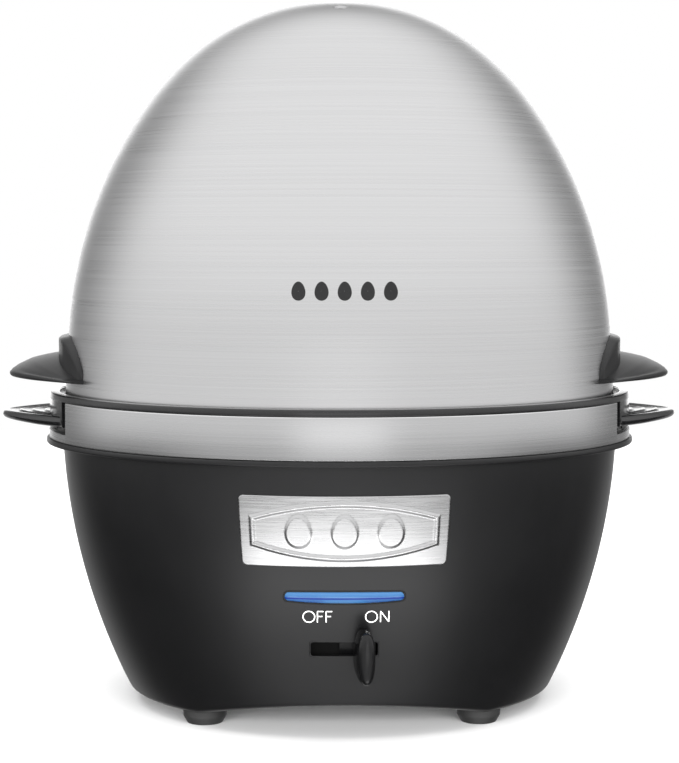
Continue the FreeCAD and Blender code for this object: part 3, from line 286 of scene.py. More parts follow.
@dataclass(frozen=True)
class BrushedSteel(Finish):
    """Steel brushed around the upright axis, so its fine lines run level."""

    tint: Corner = (0.74, 0.74, 0.745)
    roughness: float = 0.3
    anisotropy: float = 0.55
    lines: float = 1500.0
    depth: float = 2.5e-6
    contrast: float = 0.05
    # edges: heights of the lower and upper edge, near which a painted highlight whitens the steel
    edges: Point = (-1.0, 1.0)

    def paint(self, graph: Graph) -> dict:
        """Lines of two widths that tint, roughen and groove the steel, and a painted highlight that whitens
        it near the two edge heights.

        Args:
            graph: the material's empty graph.

        Returns:
            A value or wire for each socket.
        """
        x, y, z = graph.place()
        across = z - (x * x + y * y).root()
        fine = graph.noise(x * 5.0, y * 5.0, across * self.lines * 3.2, detail=1.0)
        wide = graph.noise(x * 3.0 + 3.0, y * 3.0, across * self.lines * 0.6)
        cloud = graph.noise(x * 22.0, y * 22.0, z * 22.0)
        line = (fine * 0.6 + wide * 0.4).ramp(0.3, 0.7)
        low, high = colour(self.tint, 1.0 - self.contrast), colour(self.tint, 1.0 + self.contrast)
        # painted highlight: the steel turns white within a fraction of a millimetre of each edge height,
        # standing in for light caught by the rounded edges
        bottom, top = self.edges
        near, far = 0.15 * MM, 0.45 * MM
        painted_edge_highlight = z.ramp(top - far, top - near) + (1.0 - z.ramp(bottom + near, bottom + far))
        return {
            "Base Color": graph.mix(painted_edge_highlight, graph.mix(line, low, high), (1.0, 1.0, 1.0, 1.0)),
            "Metallic": 1.0,
            "Roughness": (line - 0.5) * 0.07 + (cloud - 0.5) * 0.05 + self.roughness,
            "Anisotropic": self.anisotropy,
            "Normal": graph.bump(fine, self.depth),
        }


@dataclass(frozen=True)
class LevelSteel(Finish):
    """Steel brushed from side to side on a small plate."""

    tint: Corner = (0.72, 0.72, 0.725)
    roughness: float = 0.3
    lines: float = 3200.0
    contrast: float = 0.1

    def paint(self, graph: Graph) -> dict:
        """Level scratches of mixed length over a faint cloudiness.

        Args:
            graph: the material's empty graph.

        Returns:
            A value or wire for each socket.
        """
        x, y, z = graph.place()
        scratch = graph.noise(x * 60.0, y * 60.0, z * self.lines, detail=3.0).ramp(0.28, 0.72)
        cloud = graph.noise(x * 90.0, y * 90.0, z * 160.0)
        low, high = colour(self.tint, 1.0 - self.contrast), colour(self.tint, 1.0 + self.contrast)
        return {
            "Base Color": graph.mix(scratch * 0.8 + cloud * 0.2, low, high),
            "Metallic": 1.0,
            "Roughness": (scratch - 0.5) * 0.12 + self.roughness,
            "Normal": graph.bump(scratch, 3.0e-6),
        }


@dataclass(frozen=True)
class Moulded(Finish):
    """Moulded plastic or rubber with a fine grain."""

    tint: Corner = (0.012, 0.012, 0.0125)
    roughness: float = 0.36
    grain: Grain = Grain.SATIN
    coat: float = 0.0

    def paint(self, graph: Graph) -> dict:
        """A grain in the surface, with slow changes of shade and gloss.

        Args:
            graph: the material's empty graph.

        Returns:
            A value or wire for each socket.
        """
        size, depth = self.grain.value
        x, y, z = graph.place()
        grain = graph.noise(x * size, y * size, z * size, detail=3.0)
        slow = graph.noise(x * 45.0, y * 45.0, z * 45.0)
        shade = slow * 0.6 + grain * 0.4
        return {
            "Base Color": graph.mix(shade.ramp(0.3, 0.7), colour(self.tint, 0.86), colour(self.tint, 1.14)),
            "Roughness": (grain - 0.5) * 0.1 + (slow - 0.5) * 0.06 + self.roughness,
            "Coat Weight": self.coat,
            "Coat Roughness": 0.12,
            "Normal": graph.bump(grain, depth),
        }


@dataclass(frozen=True)
class WornMetal(Finish):
    """Plated, rolled or heat-darkened metal with fine marks along one direction."""

    tint: Corner = (0.6, 0.6, 0.61)
    roughness: float = 0.34
    stain: float = 0.2

    def paint(self, graph: Graph) -> dict:
        """Tool marks, and stains where the metal has dulled.

        Args:
            graph: the material's empty graph.

        Returns:
            A value or wire for each socket.
        """
        x, y, z = graph.place()
        marks = graph.noise(x * 300.0, y * 2600.0, z * 2600.0, detail=3.0)
        stains = graph.noise(x * 110.0, y * 110.0, z * 110.0, detail=4.0).ramp(0.42, 0.7)
        dull = colour(self.tint, 1.0 - self.stain)
        return {
            "Base Color": graph.mix(stains * 0.7 + marks * 0.3, colour(self.tint, 1.05), dull),
            "Metallic": 1.0,
            "Roughness": stains * 0.16 + (marks - 0.5) * 0.1 + self.roughness,
            "Normal": graph.bump(marks, 4.0e-6),
        }


@dataclass(frozen=True)
class BoardResist(Finish):
    """Green resist over copper tracks."""

    tint: Corner = (0.03, 0.2, 0.08)

    def paint(self, graph: Graph) -> dict:
        """Tracks in two directions, lighter and raised where the copper lies.

        Args:
            graph: the material's empty graph.

        Returns:
            A value or wire for each socket.
        """
        x, _, z = graph.place()
        along = graph.math("PINGPONG", x * 900.0 + graph.noise(x * 60.0, 0.0, z * 90.0) * 3.0, 1.0)
        upward = graph.math("PINGPONG", z * 420.0, 1.0)
        track = along.ramp(0.55, 0.7) * upward.ramp(0.2, 0.35)
        return {
            "Base Color": graph.mix(track, colour(self.tint), colour(self.tint, 1.9)),
            "Roughness": 0.35 - track * 0.1,
            "Normal": graph.bump(track, 2.0e-5),
        }


@dataclass(frozen=True)
class LitLens(Finish):
    """Clear blue plastic lit from behind, with light drawn out along its length."""

    half: float
    level: float
    deep: Corner = (0.002, 0.025, 0.26)
    clear: Corner = (0.04, 0.15, 0.4)
    glare: Corner = (0.2, 0.5, 0.78)
    shade: Corner = (0.012, 0.012, 0.16)

    def paint(self, graph: Graph) -> dict:
        """A bright middle, a pale upper edge and a deep stripe below it.

        Args:
            graph: the material's empty graph.

        Returns:
            A value or wire for each socket.
        """
        x, _, z = graph.place()
        rise = (z - self.level) * (1.0 / (1.6 * MM))
        reach = abs(x) * (1.0 / self.half)
        streak = graph.noise(x * 130.0, 0.0, z * 2600.0, detail=2.0).ramp(0.3, 0.72)
        upper = rise.ramp(0.1, 0.5)
        stripe = rise.ramp(-0.4, -0.2) * (1.0 - rise.ramp(-0.1, 0.1))
        middle = (1.0 - reach.ramp(0.2, 0.5)) * (1.0 - upper)
        pale = graph.mix(upper * 0.7 + streak * 0.2, colour(self.clear), colour(self.glare))
        lit = graph.mix(middle * 0.6, pale, colour(self.glare))
        body = graph.mix(stripe * 0.9, lit, colour(self.deep))
        edge = reach.ramp(0.28, 0.5) * (1.0 - rise.ramp(-0.55, -0.3))
        body = graph.mix(edge * 0.85, body, colour(self.shade))
        return {
            "Base Color": graph.mix(stripe, colour(self.clear, 0.35), colour(self.deep, 0.35)),
            "Emission Color": body,
            "Emission Strength": 0.3,
            "Roughness": (streak - 0.5) * 0.06 + 0.16,
            "Normal": graph.bump(streak, 1.0e-5),
        }


# ---- mesh tools ------------------------------------------------------------------------------

@dataclass
class Shape:
    """Corners and faces in millimetres, gathered into one mesh."""

    corners: Ring = field(default_factory=list)
    faces: list[tuple[int, ...]] = field(default_factory=list)

    def add_rings(self, rings: Sequence[Ring], around: bool = True, along: bool = False,
                  capped: bool = False) -> None:
        """Skin a row of rings that have the same number of corners.

        Args:
            rings: the rings, in order.
            around: join each ring's last corner to its first.
            along: join the last ring to the first.
            capped: close the first and last rings.
        """
        start, count, total = len(self.corners), len(rings[0]), len(rings)
        for ring in rings:
            self.corners.extend(ring)
        for row in range(total if along else total - 1):
            here, there = start + row * count, start + (row + 1) % total * count
            for place in range(count if around else count - 1):
                after = (place + 1) % count
                self.faces.append((here + place, here + after, there + after, there + place))
        if capped:
            self.faces.append(tuple(range(start, start + count)))
            self.faces.append(tuple(range(start + (total - 1) * count, start + total * count)))

    def add_lathe(self, outline: Sequence[Point], segments: int = LATHE_STEPS, centre: Point = (0.0, 0.0),
                  closed: bool = True) -> None:
        """Turn a radius and height outline about an upright axis.

        Args:
            outline: radius and height of each corner.
            segments: steps around.
            centre: x and y of the axis.
            closed: join the outline's last corner to its first.
        """
        rings = [[(centre[0] + r * math.sin(t), centre[1] - r * math.cos(t), z) for r, z in outline]
                 for t in directions(segments)]
        self.add_rings(rings, around=closed, along=True)

    def add_mesh(self, mesh: bpy.types.Mesh, move: Corner = (0.0, 0.0, 0.0)) -> None:
        """Take in another mesh, moved.

        Args:
            mesh: the mesh, in millimetres.
            move: how far to move it.
        """
        start = len(self.corners)
        self.corners.extend(tuple(a + b for a, b in zip(v.co, move)) for v in mesh.vertices)
        self.faces.extend(tuple(start + i for i in face.vertices) for face in mesh.polygons)

    def mesh(self, name: str, weld: bool) -> bpy.types.Mesh:
        """Make the mesh in metres, with its faces turned outwards.

        Args:
            name: the mesh's name.
            weld: merge corners that lie on each other.

        Returns:
            The mesh.
        """
        mesh = bpy.data.meshes.new(name)
        mesh.from_pydata([tuple(part * MM for part in corner) for corner in self.corners], [], self.faces)
        work = bmesh.new()
        work.from_mesh(mesh)
        if weld:
            bmesh.ops.remove_doubles(work, verts=work.verts, dist=WELD)
        bmesh.ops.recalc_face_normals(work, faces=work.faces)
        work.to_mesh(mesh)
        work.free()
        return mesh

    def mirrored(self) -> "Shape":
        """The same shape on the other side of the middle plane."""
        return Shape([(-x, y, z) for x, y, z in self.corners], list(self.faces))


def rounded_outline(corners: Sequence[tuple[float, float, float]], steps: int = 5) -> list[Point]:
    """Round the corners of a closed outline.

    Args:
        corners: two coordinates and a rounding radius for each corner.
        steps: points in each rounding.

    Returns:
        The rounded outline.
    """
    made = []
    for index, (x, y, radius) in enumerate(corners):
        here = Vector((x, y))
        before = Vector(corners[index - 1][:2]) - here
        after = Vector(corners[(index + 1) % len(corners)][:2]) - here
        if radius <= 0.0:
            made.append((x, y))
            continue
        half = before.angle(after) / 2.0
        trim = min(radius / math.tan(half), before.length * 0.49, after.length * 0.49)
        start, stop = here + before.normalized() * trim, here + after.normalized() * trim
        for step in range(steps + 1):
            share = step / steps
            point = start * (1 - share) ** 2 + here * 2 * share * (1 - share) + stop * share ** 2
            made.append((point.x, point.y))
    return made


def directions(count: int) -> list[float]:
    """Directions spread evenly around a circle."""
    return [2.0 * math.pi * step / count for step in range(count)]


def spread(low: float, high: float, count: int) -> list[float]:
    """Evenly spaced values from low to high."""
    return [low + (high - low) * step / (count - 1) for step in range(count)]


def between(value: float, points: Sequence[Point]) -> float:
    """Read a smooth curve through points.

    Args:
        value: where to read it.
        points: position and height of each point, from left to right.

    Returns:
        The height there.
    """
    if value <= points[0][0]:
        return points[0][1]
    for (x0, y0), (x1, y1) in zip(points, points[1:]):
        if value <= x1:
            share = (value - x0) / (x1 - x0)
            return y0 + (y1 - y0) * share
    return points[-1][1]


@dataclass(frozen=True)
class Wall:
    """The housing's curved outer wall, in millimetres."""

    curve: float = 190.55
    equator: float = 90.3
    widest: float = 85.41

    def radius(self, level: float) -> float:
        """Radius of the wall at a level."""
        return self.widest - self.curve + math.sqrt(self.curve ** 2 - (level - self.equator) ** 2)

    def front(self, x: float, z: float, proud: float) -> Corner:
        """A point that stands proud of the wall's front, above or beside its middle."""
        reach = self.radius(z) + proud
        return x, -math.sqrt(reach * reach - x * x), z

    def wrap(self, along: float, z: float, proud: float) -> Corner:
        """A point a distance along the wall's front, measured round it.

        Args:
            along: distance around the wall.
            z: height.
            proud: distance outside the wall.

        Returns:
            The point.
        """
        turn = along / self.radius(self.equator - 28.0)
        reach = self.radius(z) + proud
        return reach * math.sin(turn), -reach * math.cos(turn), z


class Workshop:
    """Makes pieces, dresses them and keeps count of them."""

    def __init__(self, finishes: dict[str, Finish]) -> None:
        """Make every slot's material.

        Args:
            finishes: the finish of each material slot.
        """
        self.materials = {slot: finish.material() for slot, finish in finishes.items()}
        self.count = 0

    def piece(self, name: str, shape: Shape, body: Body, slot: str, nodes: Iterable[str] = (),
              crease: float = 32.0) -> bpy.types.Object:
        """Turn a shape into a piece of the object.

        Args:
            name: the piece's name.
            shape: its mesh in millimetres.
            body: the body that it rides on.
            slot: the material slot that it takes its finish from.
            nodes: the CAD nodes that it stands for.
            crease: the angle in degrees above which an edge stays sharp.

        Returns:
            The piece.
        """
        mesh = shape.mesh(name, weld=True)
        mesh.shade_smooth()
        mesh.set_sharp_from_angle(angle=math.radians(crease))
        made = bpy.data.objects.new(name, mesh)
        bpy.context.scene.collection.objects.link(made)
        made.data.materials.append(self.materials[slot])
        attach(made, body.value)
        if nodes:
            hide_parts(*nodes)
        self.count += 1
        LOG.info("%s: %d faces, on %s", name, len(mesh.polygons), body.value)
        return made

    def dress_nodes(self, nodes: dict[str, bpy.types.Object]) -> None:
        """Give each CAD node that still shows the finish of its slot.

        Args:
            nodes: each CAD node by its name.
        """
        for name, node in sorted(nodes.items()):
            if node.hide_render:
                continue
            slot = node.material_slots[0].material.name.split(".")[0]
            for holder in node.material_slots:
                holder.material = self.materials[slot]
            LOG.info("%s keeps its CAD shape, in %s", name, slot)


def carve(piece: bpy.types.Object, tool: Shape) -> None:
    """Cut a closed shape out of a piece.

    Args:
        piece: the piece to cut.
        tool: the shape to take away, in millimetres.
    """
    holder = bpy.data.objects.new("tool", tool.mesh("tool", weld=False))
    bpy.context.scene.collection.objects.link(holder)
    cutter = piece.modifiers.new("cut", "BOOLEAN")
    cutter.object = holder
    cutter.operation = "DIFFERENCE"
    cutter.solver = "EXACT"
    bpy.context.view_layer.update()
    cut = bpy.data.meshes.new_from_object(piece.evaluated_get(bpy.context.evaluated_depsgraph_get()))
    piece.modifiers.clear()
    cut.shade_smooth()
    cut.set_sharp_from_angle(angle=math.radians(40.0))
    piece.data = cut
    bpy.data.objects.remove(holder)


def middle_of(node: str) -> Vector:
    """Centre of a node's box in millimetres."""
    low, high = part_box(node)
    return (low + high) / 2.0 / MM


def flat_cutout(outer: Sequence[Point], holes: Sequence[Sequence[Point]], thick: float,
                edge: float) -> bpy.types.Mesh:
    """A plate with holes and rounded edges, lying level around height 0.

    Args:
        outer: the plate's outline in millimetres.
        holes: outlines of its holes.
        thick: its thickness.
        edge: how much its edges are rounded.

    Returns:
        Its mesh, in millimetres.
    """
    curve = bpy.data.curves.new("cutout", "CURVE")
    curve.dimensions = "2D"
    curve.fill_mode = "BOTH"
    curve.extrude = thick / 2.0 - edge
    curve.bevel_depth = edge
    curve.bevel_resolution = 2
    curve.offset = -edge
    for outline in (outer, *holes):
        spline = curve.splines.new("POLY")
        spline.points.add(len(outline) - 1)
        for point, (x, y) in zip(spline.points, outline):
            point.co = (x, y, 0.0, 1.0)
        spline.use_cyclic_u = True
    holder = bpy.data.objects.new("cutout", curve)
    mesh = bpy.data.meshes.new_from_object(holder)
    bpy.data.objects.remove(holder)
    bpy.data.curves.remove(curve)
    return mesh


def circle(radius: float, centre: Point = (0.0, 0.0), count: int = 72) -> list[Point]:
    """Points on a circle."""
    return [(centre[0] + radius * math.cos(t), centre[1] + radius * math.sin(t)) for t in directions(count)]


# ---- the lid ---------------------------------------------------------------------------------

@dataclass
class LidShell:
    """Pressed steel dome: a leaning skirt, a wide shoulder and a round nose."""

    flare: float = 3.8
    skirt: float = 19.4
    nose: float = 70.9
    wall: float = 0.8
    vent: float = 2.1
    vent_front: float = 22.0

    def profile(self) -> list[tuple[Vector, Vector]]:
        """Points and outward normals from the lower edge to the apex.

        Returns:
            Each point with its normal, in millimetres.
        """
        low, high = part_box("lid_shell")
        edge = Vector((high.x / MM, low.z / MM))
        lean = math.radians(self.flare)
        bend = edge + Vector((-math.tan(lean), 1.0)) * self.skirt
        inward = Vector((-math.cos(lean), -math.sin(lean)))
        centre = Vector((0.0, high.z / MM - self.nose))
        arm = bend - centre
        shoulder = (self.nose ** 2 - arm.length_squared) / (2.0 * (arm.dot(inward) + self.nose))
        middle = bend + inward * shoulder
        toward = (centre - middle).normalized()
        made = [(edge.lerp(bend, share), -inward) for share in spread(0.0, 1.0, 14)[:-1]]
        first, last = lean, math.atan2(toward.y, toward.x)
        for turn in spread(first, last, 52)[:-1]:
            normal = Vector((math.cos(turn), math.sin(turn)))
            made.append((middle + normal * shoulder, normal))
        for turn in spread(last, math.pi / 2.0, 60):
            normal = Vector((math.cos(turn), math.sin(turn)))
            made.append((centre + normal * self.nose, normal))
        return made

    def build(self, shop: Workshop) -> None:
        """Turn the dome, roll its edge and open its vent.

        Args:
            shop: makes the pieces.
        """
        line = self.profile()
        outer = [(p.x, p.y) for p, _ in line]
        inner = [((p - n * self.wall).x, (p - n * self.wall).y) for p, n in line]
        shape = Shape()
        rolled = rounded_outline([(*inner[2], 0.0), (*inner[0], 0.38), (*outer[0], 0.38), (*outer[2], 0.0)])
        outline = [*reversed(inner[3:-1]), *rolled, *outer[3:-1]]
        shape.add_lathe(outline, DOME_STEPS, closed=False)
        for cap in (outer[-2], inner[-2]):
            start = len(shape.corners)
            shape.corners.extend((cap[0] * math.sin(t), -cap[0] * math.cos(t), cap[1])
                                 for t in directions(DOME_STEPS))
            shape.faces.append(tuple(range(start, start + DOME_STEPS)))
        made = shop.piece("lid_dome", shape, Body.LID, "lid_steel", ["lid_shell"])
        self.open_vent(made)

    def open_vent(self, dome: bpy.types.Object) -> None:
        """Cut the steam vent through the top of the dome.

        Args:
            dome: the lid's piece.
        """
        hole = circle(self.vent, (0.0, -self.vent_front), 40)
        top = CAD_BOUNDS[1].z / MM
        tool = Shape()
        tool.add_rings([[(x, y, top + rise) for x, y in hole] for rise in (-12.0, 6.0)], capped=True)
        carve(dome, tool)


@dataclass
class LidHandle:
    """Moulded handle: an arched pad against the skirt and a tongue like a cap's peak."""

    half: float = 37.8
    flat: float = 17.0
    shoulder: float = 101.1
    corner: float = 27.0
    skin: float = 3.1
    rounding: float = 1.4
    turn: float = 26.0
    span_radius: float = 87.4
    taper: float = 16.0
    dish: float = 0.45
    dish_end: float = 9.0
    tongue_root: float = 83.6
    tongue_round: float = 1.0
    tongue_rise: float = 0.45
    tongue_drop: float = 0.9
    tongue_thin: float = 1.5
    tongue_bulge: float = 0.5
    tongue_sweep: float = 14.4
    tongue_edge: float = 2.0
    crest: Sequence[Point] = ((80.0, 107.3), (87.0, 106.7), (95.0, 104.8), (99.0, 103.2), (101.4, 101.8))

    def pad_top(self, y: float, top: float) -> float:
        """Height of the pad's arched edge at a distance from its middle.

        Args:
            y: distance from the pad's middle.
            top: the arch's top.

        Returns:
            The height.
        """
        beyond = max(0.0, abs(y) - self.flat)
        if beyond <= 0.0:
            return top
        span, drop = self.half - self.flat, top - self.shoulder
        share = min(1.0, beyond / span)
        return top - drop * (1.0 - math.sqrt(max(0.0, 1.0 - share ** 2))) * 0.62 - drop * 0.38 * share ** 1.6

    def pad(self, shape: Shape, low: float, top: float, skirt: Callable[[float], float]) -> None:
        """Add the pad: a shell on the skirt with rounded edges.

        Args:
            shape: receives the pad.
            low: height of its lower edge.
            top: height of its arch.
            skirt: radius of the lid's skirt at a height.
        """
        reach = math.asin(self.half / self.span_radius)
        rings = []
        for turn in spread(-reach, reach, 73):
            y = self.span_radius * math.sin(turn)
            high = self.pad_top(y, top)
            end = (1.0 - abs(turn) / reach) * self.half
            ring = []
            for share in spread(0.0, 1.0, 26):
                z = low + (high - low) * share
                edge = min(high - z, end * 1.2 + 0.02, (z - low) * 2.0 + 1.2)
                thin = min(1.0, 0.1 + end / self.taper) ** 0.6
                round_in = 1.0 - min(1.0, edge / self.rounding)
                proud = self.skin * thin * math.sqrt(max(0.0, 1.0 - round_in ** 2))
                dish = self.dish * math.sin(math.pi * share) * min(1.0, end / self.dish_end)
                radius = skirt(z) + 0.05 + max(0.12, proud - dish)
                ring.append((radius * math.cos(turn), radius * math.sin(turn), z))
            for z in (high - 0.02, (high + low) / 2.0, low):
                radius = skirt(z) + 0.03
                ring.append((radius * math.cos(turn), radius * math.sin(turn), z))
            rings.append(ring)
        shape.add_rings(rings, capped=True)

    def tongue(self, shape: Shape, low: float, tip: float) -> None:
        """Add the tongue: a peak that thins outwards and to its two ends.

        Args:
            shape: receives the tongue.
            low: height of its underside at the lid.
            tip: its reach from the axis.
        """
        rings = []
        for degrees in spread(-self.turn, self.turn, 97):
            side = abs(degrees) / self.turn
            eased = math.sqrt(degrees ** 2 + 2.2) - math.sqrt(2.2)
            reach = tip - self.tongue_sweep * (eased / self.turn) ** 1.2
            inner, end = self.tongue_root, self.tongue_round
            lift = 1.0 - self.tongue_drop * side ** 1.5
            ring = []
            for share in spread(0.0, 1.0, 22):
                r = inner + (reach - end - inner) * share
                bottom = low + self.tongue_rise * share ** 2
                ring.append((r, bottom))
            last_bottom = ring[-1][1]
            edge_high = last_bottom + self.tongue_edge - self.tongue_thin * side ** 2
            for share in (0.15, 0.35, 0.5, 0.65, 0.85):
                swing = math.pi * (share - 0.5)
                half = (edge_high - last_bottom) / 2.0
                ring.append((reach - end + end * math.cos(swing),
                             (last_bottom + edge_high) / 2.0 + half * math.sin(swing)))
            for share in reversed(spread(0.0, 1.0, 22)):
                r = inner + (reach - end - inner) * share
                level = between(inner + (tip - end - inner) * share, self.crest) - low
                bulge = self.tongue_bulge * math.sin(math.pi * share) * (1.0 - side)
                top = max(low + level * lift + bulge, edge_high + (1.0 - share) * 0.4)
                ring.append((r, top))
            angle = math.radians(degrees)
            rings.append([(r * math.cos(angle), r * math.sin(angle), z) for r, z in ring])
        shape.add_rings(rings, capped=True)

    def build(self, shop: Workshop) -> None:
        """Make the right handle and its mirror image.

        Args:
            shop: makes the pieces.
        """
        low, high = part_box("lid_handle_right")
        edge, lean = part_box("lid_shell")[1].x / MM, math.tan(math.radians(LidShell.flare))
        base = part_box("lid_shell")[0].z / MM

        def skirt(level: float) -> float:
            """Radius of the skirt at a level."""
            return edge - (level - base) * lean

        shape = Shape()
        self.pad(shape, low.z / MM, high.z / MM, skirt)
        self.tongue(shape, low.z / MM, high.x / MM - 0.3)
        for side, grip in (("right", shape), ("left", shape.mirrored())):
            shop.piece(f"lid_grip_{side}", grip, Body.LID, "handle_black", [f"lid_handle_{side}"],
                       crease=50.0)


@dataclass
class LidEmblem:
    """A small printed row of five plain eggs on the lid's front."""

    level: float = 127.6
    pitch: float = 6.3
    width: float = 1.9
    height: float = 2.6
    count: int = 5

    def build(self, shop: Workshop) -> None:
        """Lay thin printed eggs on the dome.

        Args:
            shop: makes the pieces.
        """
        levels = [(point.y, point.x) for point, _ in LidShell().profile()]
        shape = Shape()
        for index in range(self.count):
            centre = (index - (self.count - 1) / 2.0) * self.pitch
            rings = []
            for share in spread(0.02, 1.0, 7):
                ring = []
                for turn in directions(40):
                    lift = math.sin(turn) * share
                    x = centre + self.width * (1.0 - 0.15 * lift) * math.cos(turn) * share
                    z = self.level + self.height * lift
                    reach = between(z, levels) + 0.03
                    ring.append((x, -math.sqrt(reach * reach - x * x), z))
                rings.append(ring)
            shape.add_rings(rings)
        shop.piece("lid_egg_print", shape, Body.LID, "handle_black")


# ---- the tray --------------------------------------------------------------------------------

@dataclass
class EggTray:
    """Lift-out tray: rim ring, skirt, perforated floor and two ribbed side handles."""

    skirt_skin: float = 1.8
    floor_skin: float = 2.0
    seat: float = 15.5
    seat_ring: float = 61.5
    inner_ring: float = 21.8
    inner_turn: float = 22.5
    handle_half: float = 33.0
    handle_sweep: float = 21.2
    handle_skin: float = 3.0
    handle_rise: float = 0.5
    rib_pitch: float = 3.85
    handle_round: float = 1.5
    handle_end_drop: float = 0.6
    rise_start: float = 90.5
    rib_start: float = 1.6
    rib_rows: float = 3.4
    rib_height: float = 1.1
    block_turn: float = 22.5
    block_bottom: float = 86.3

    def seats(self) -> list[list[Point]]:
        """Outlines of the ten egg seats.

        Returns:
            One outline for each seat.
        """
        made = []
        for index in range(8):
            turn = math.radians(45.0 * index)
            place = (self.seat_ring * math.sin(turn), -self.seat_ring * math.cos(turn))
            made.append(circle(self.seat, place))
        lean = math.radians(self.inner_turn)
        for side in (-1, 1):
            place = (side * self.inner_ring * math.sin(lean), -side * self.inner_ring * math.cos(lean))
            made.append(circle(self.seat, place))
        return made

    def ribbed_top(self, depth: float, top: float) -> float:
        """Height of the handle's upper face at a depth behind its outer edge.

        Args:
            depth: distance behind the outer edge.
            top: the ribs' top.

        Returns:
            The height.
        """
        start = self.rib_start
        if depth < start:
            return top - 0.25 * (1.0 - math.sqrt(max(0.0, 1.0 - (1.0 - depth / start) ** 2)))
        if depth > start + self.rib_rows * self.rib_pitch:
            return top - self.rib_height
        phase = (depth - start) / self.rib_pitch % 1.0
        return top - self.rib_height * (phase ** 0.7 if phase < 0.8 else (1.0 - phase) / 0.2 * 0.8 ** 0.7)

    def handle(self, shape: Shape, low: float, tip: float, root: float) -> None:
        """Add a handle: a flat tongue with curved finger ribs on top.

        Args:
            shape: receives the handle.
            low: height of its underside.
            tip: its reach from the axis.
            root: where it starts.
        """
        top = low + self.handle_skin + 0.1
        end, slope = self.handle_round, tip - self.rise_start
        rings = []
        for y in spread(-self.handle_half, self.handle_half, 61):
            share = abs(y) / self.handle_half
            reach = tip - self.handle_sweep * share ** 1.45
            start = math.sqrt(root ** 2 - y ** 2)
            side = 1.0 - max(0.0, (share - 0.93) / 0.07) ** 2 * 0.5
            drop = (1.0 - side) * self.handle_end_drop
            ring = []
            for x in spread(start, reach - end, 14):
                rise = max(0.0, x - self.rise_start) / slope * self.handle_rise
                ring.append((x, y, low + rise + drop))
            under = ring[-1][2]
            for swing in spread(-math.pi / 2.0, math.pi / 2.0, 9)[1:-1]:
                ring.append((reach - end + end * math.cos(swing), y,
                             (under + top) / 2.0 + (top - under) / 2.0 * math.sin(swing)))
            for x in reversed(spread(start, reach - end, 110)):
                ring.append((x, y, self.ribbed_top(reach - x, top) - drop))
            rings.append(ring)
        shape.add_rings(rings, capped=True)

    def block(self, shape: Shape, low: float, high: float, inner: float, outer: float) -> None:
        """Add the block that joins a handle to the ring.

        Args:
            shape: receives the part.
            low: its underside.
            high: its top.
            inner: its inner radius.
            outer: its outer radius.
        """
        outline = rounded_outline([(inner, low, 0.0), (outer, low, 0.5), (outer, high, 0.3),
                                   (inner, high, 0.0)])
        rings = []
        for turn in spread(-self.block_turn, self.block_turn, 49):
            angle = math.radians(turn)
            rings.append([(r * math.cos(angle), r * math.sin(angle), z) for r, z in outline])
        shape.add_rings(rings, capped=True)

    def build(self, shop: Workshop) -> None:
        """Make the whole tray as one moulding.

        Args:
            shop: makes the pieces.
        """
        low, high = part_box("egg_tray")
        floor, top, tip = low.z / MM, high.z / MM, high.x / MM
        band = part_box("steel_band")[1].y / MM
        inner, ledge = band - 3.25, top - 1.9
        skirt = band - 4.95 - 0.15
        shape = Shape()
        shape.add_lathe(rounded_outline([
            (skirt - self.skirt_skin, floor + 0.2, 0.0), (skirt, floor + 0.2, 0.4), (skirt, ledge - 1.9, 0.3),
            (band - 2.45, ledge - 1.9, 0.2), (band - 2.45, ledge, 0.1), (band, ledge, 0.25), (band, top, 0.7),
            (inner, top, 0.5), (inner, ledge + 0.1, 0.2), (skirt - self.skirt_skin, ledge + 0.1, 0.6)]), 256)
        plate = flat_cutout(circle(skirt - 0.6, count=180), self.seats(), self.floor_skin, 0.35)
        shape.add_mesh(plate, (0.0, 0.0, floor + self.floor_skin / 2.0))
        side = Shape()
        self.handle(side, self.block_bottom, tip, inner + 0.8)
        self.block(side, self.block_bottom, ledge + 0.6, inner + 0.2, band - 0.25)
        for part in (side, side.mirrored()):
            start = len(shape.corners)
            shape.corners.extend(part.corners)
            shape.faces.extend(tuple(start + i for i in face) for face in part.faces)
        shop.piece("tray_moulding", shape, Body.TRAY, "tray_black", ["egg_tray"], crease=40.0)


# ---- the base --------------------------------------------------------------------------------

@dataclass
class SteelBand:
    """Steel band around the rim, with rounded edges and a notch for each tray handle."""

    skin: float = 0.8
    curl: float = 1.95
    notch_turn: float = 25.1
    notch_floor: float = 84.4

    def build(self, shop: Workshop) -> None:
        """Sweep the band's section around, lower where it is notched.

        Args:
            shop: makes the pieces.
        """
        low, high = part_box("steel_band")
        outer, bottom, top = high.y / MM, low.z / MM, high.z / MM
        turns = []
        for middle in (0.0, 180.0):
            turns += spread(middle - self.notch_turn, middle + self.notch_turn, 40)
            turns += spread(middle + self.notch_turn + 0.04, middle + 180.0 - self.notch_turn - 0.04, 110)
        rings = []
        for turn in turns:
            beside = min(abs((turn + 180.0) % 360.0 - 180.0), abs(turn - 180.0))
            crown = self.notch_floor if beside <= self.notch_turn + 0.01 else top
            curl = 0.0 if crown < top else self.curl
            section = rounded_outline([
                (outer - self.skin, bottom, 0.1), (outer, bottom, 0.5), (outer, crown, 0.45),
                (outer - self.skin - curl, crown, 0.2), (outer - self.skin - curl, crown - 0.75, 0.1),
                (outer - self.skin, crown - 0.76, 0.1)], 6)
            angle = math.radians(turn)
            rings.append([(r * math.cos(angle), r * math.sin(angle), z) for r, z in section])
        shape = Shape()
        shape.add_rings(rings, along=True)
        shop.piece("rim_band", shape, Body.BASE, "band_steel", ["steel_band"], crease=40.0)


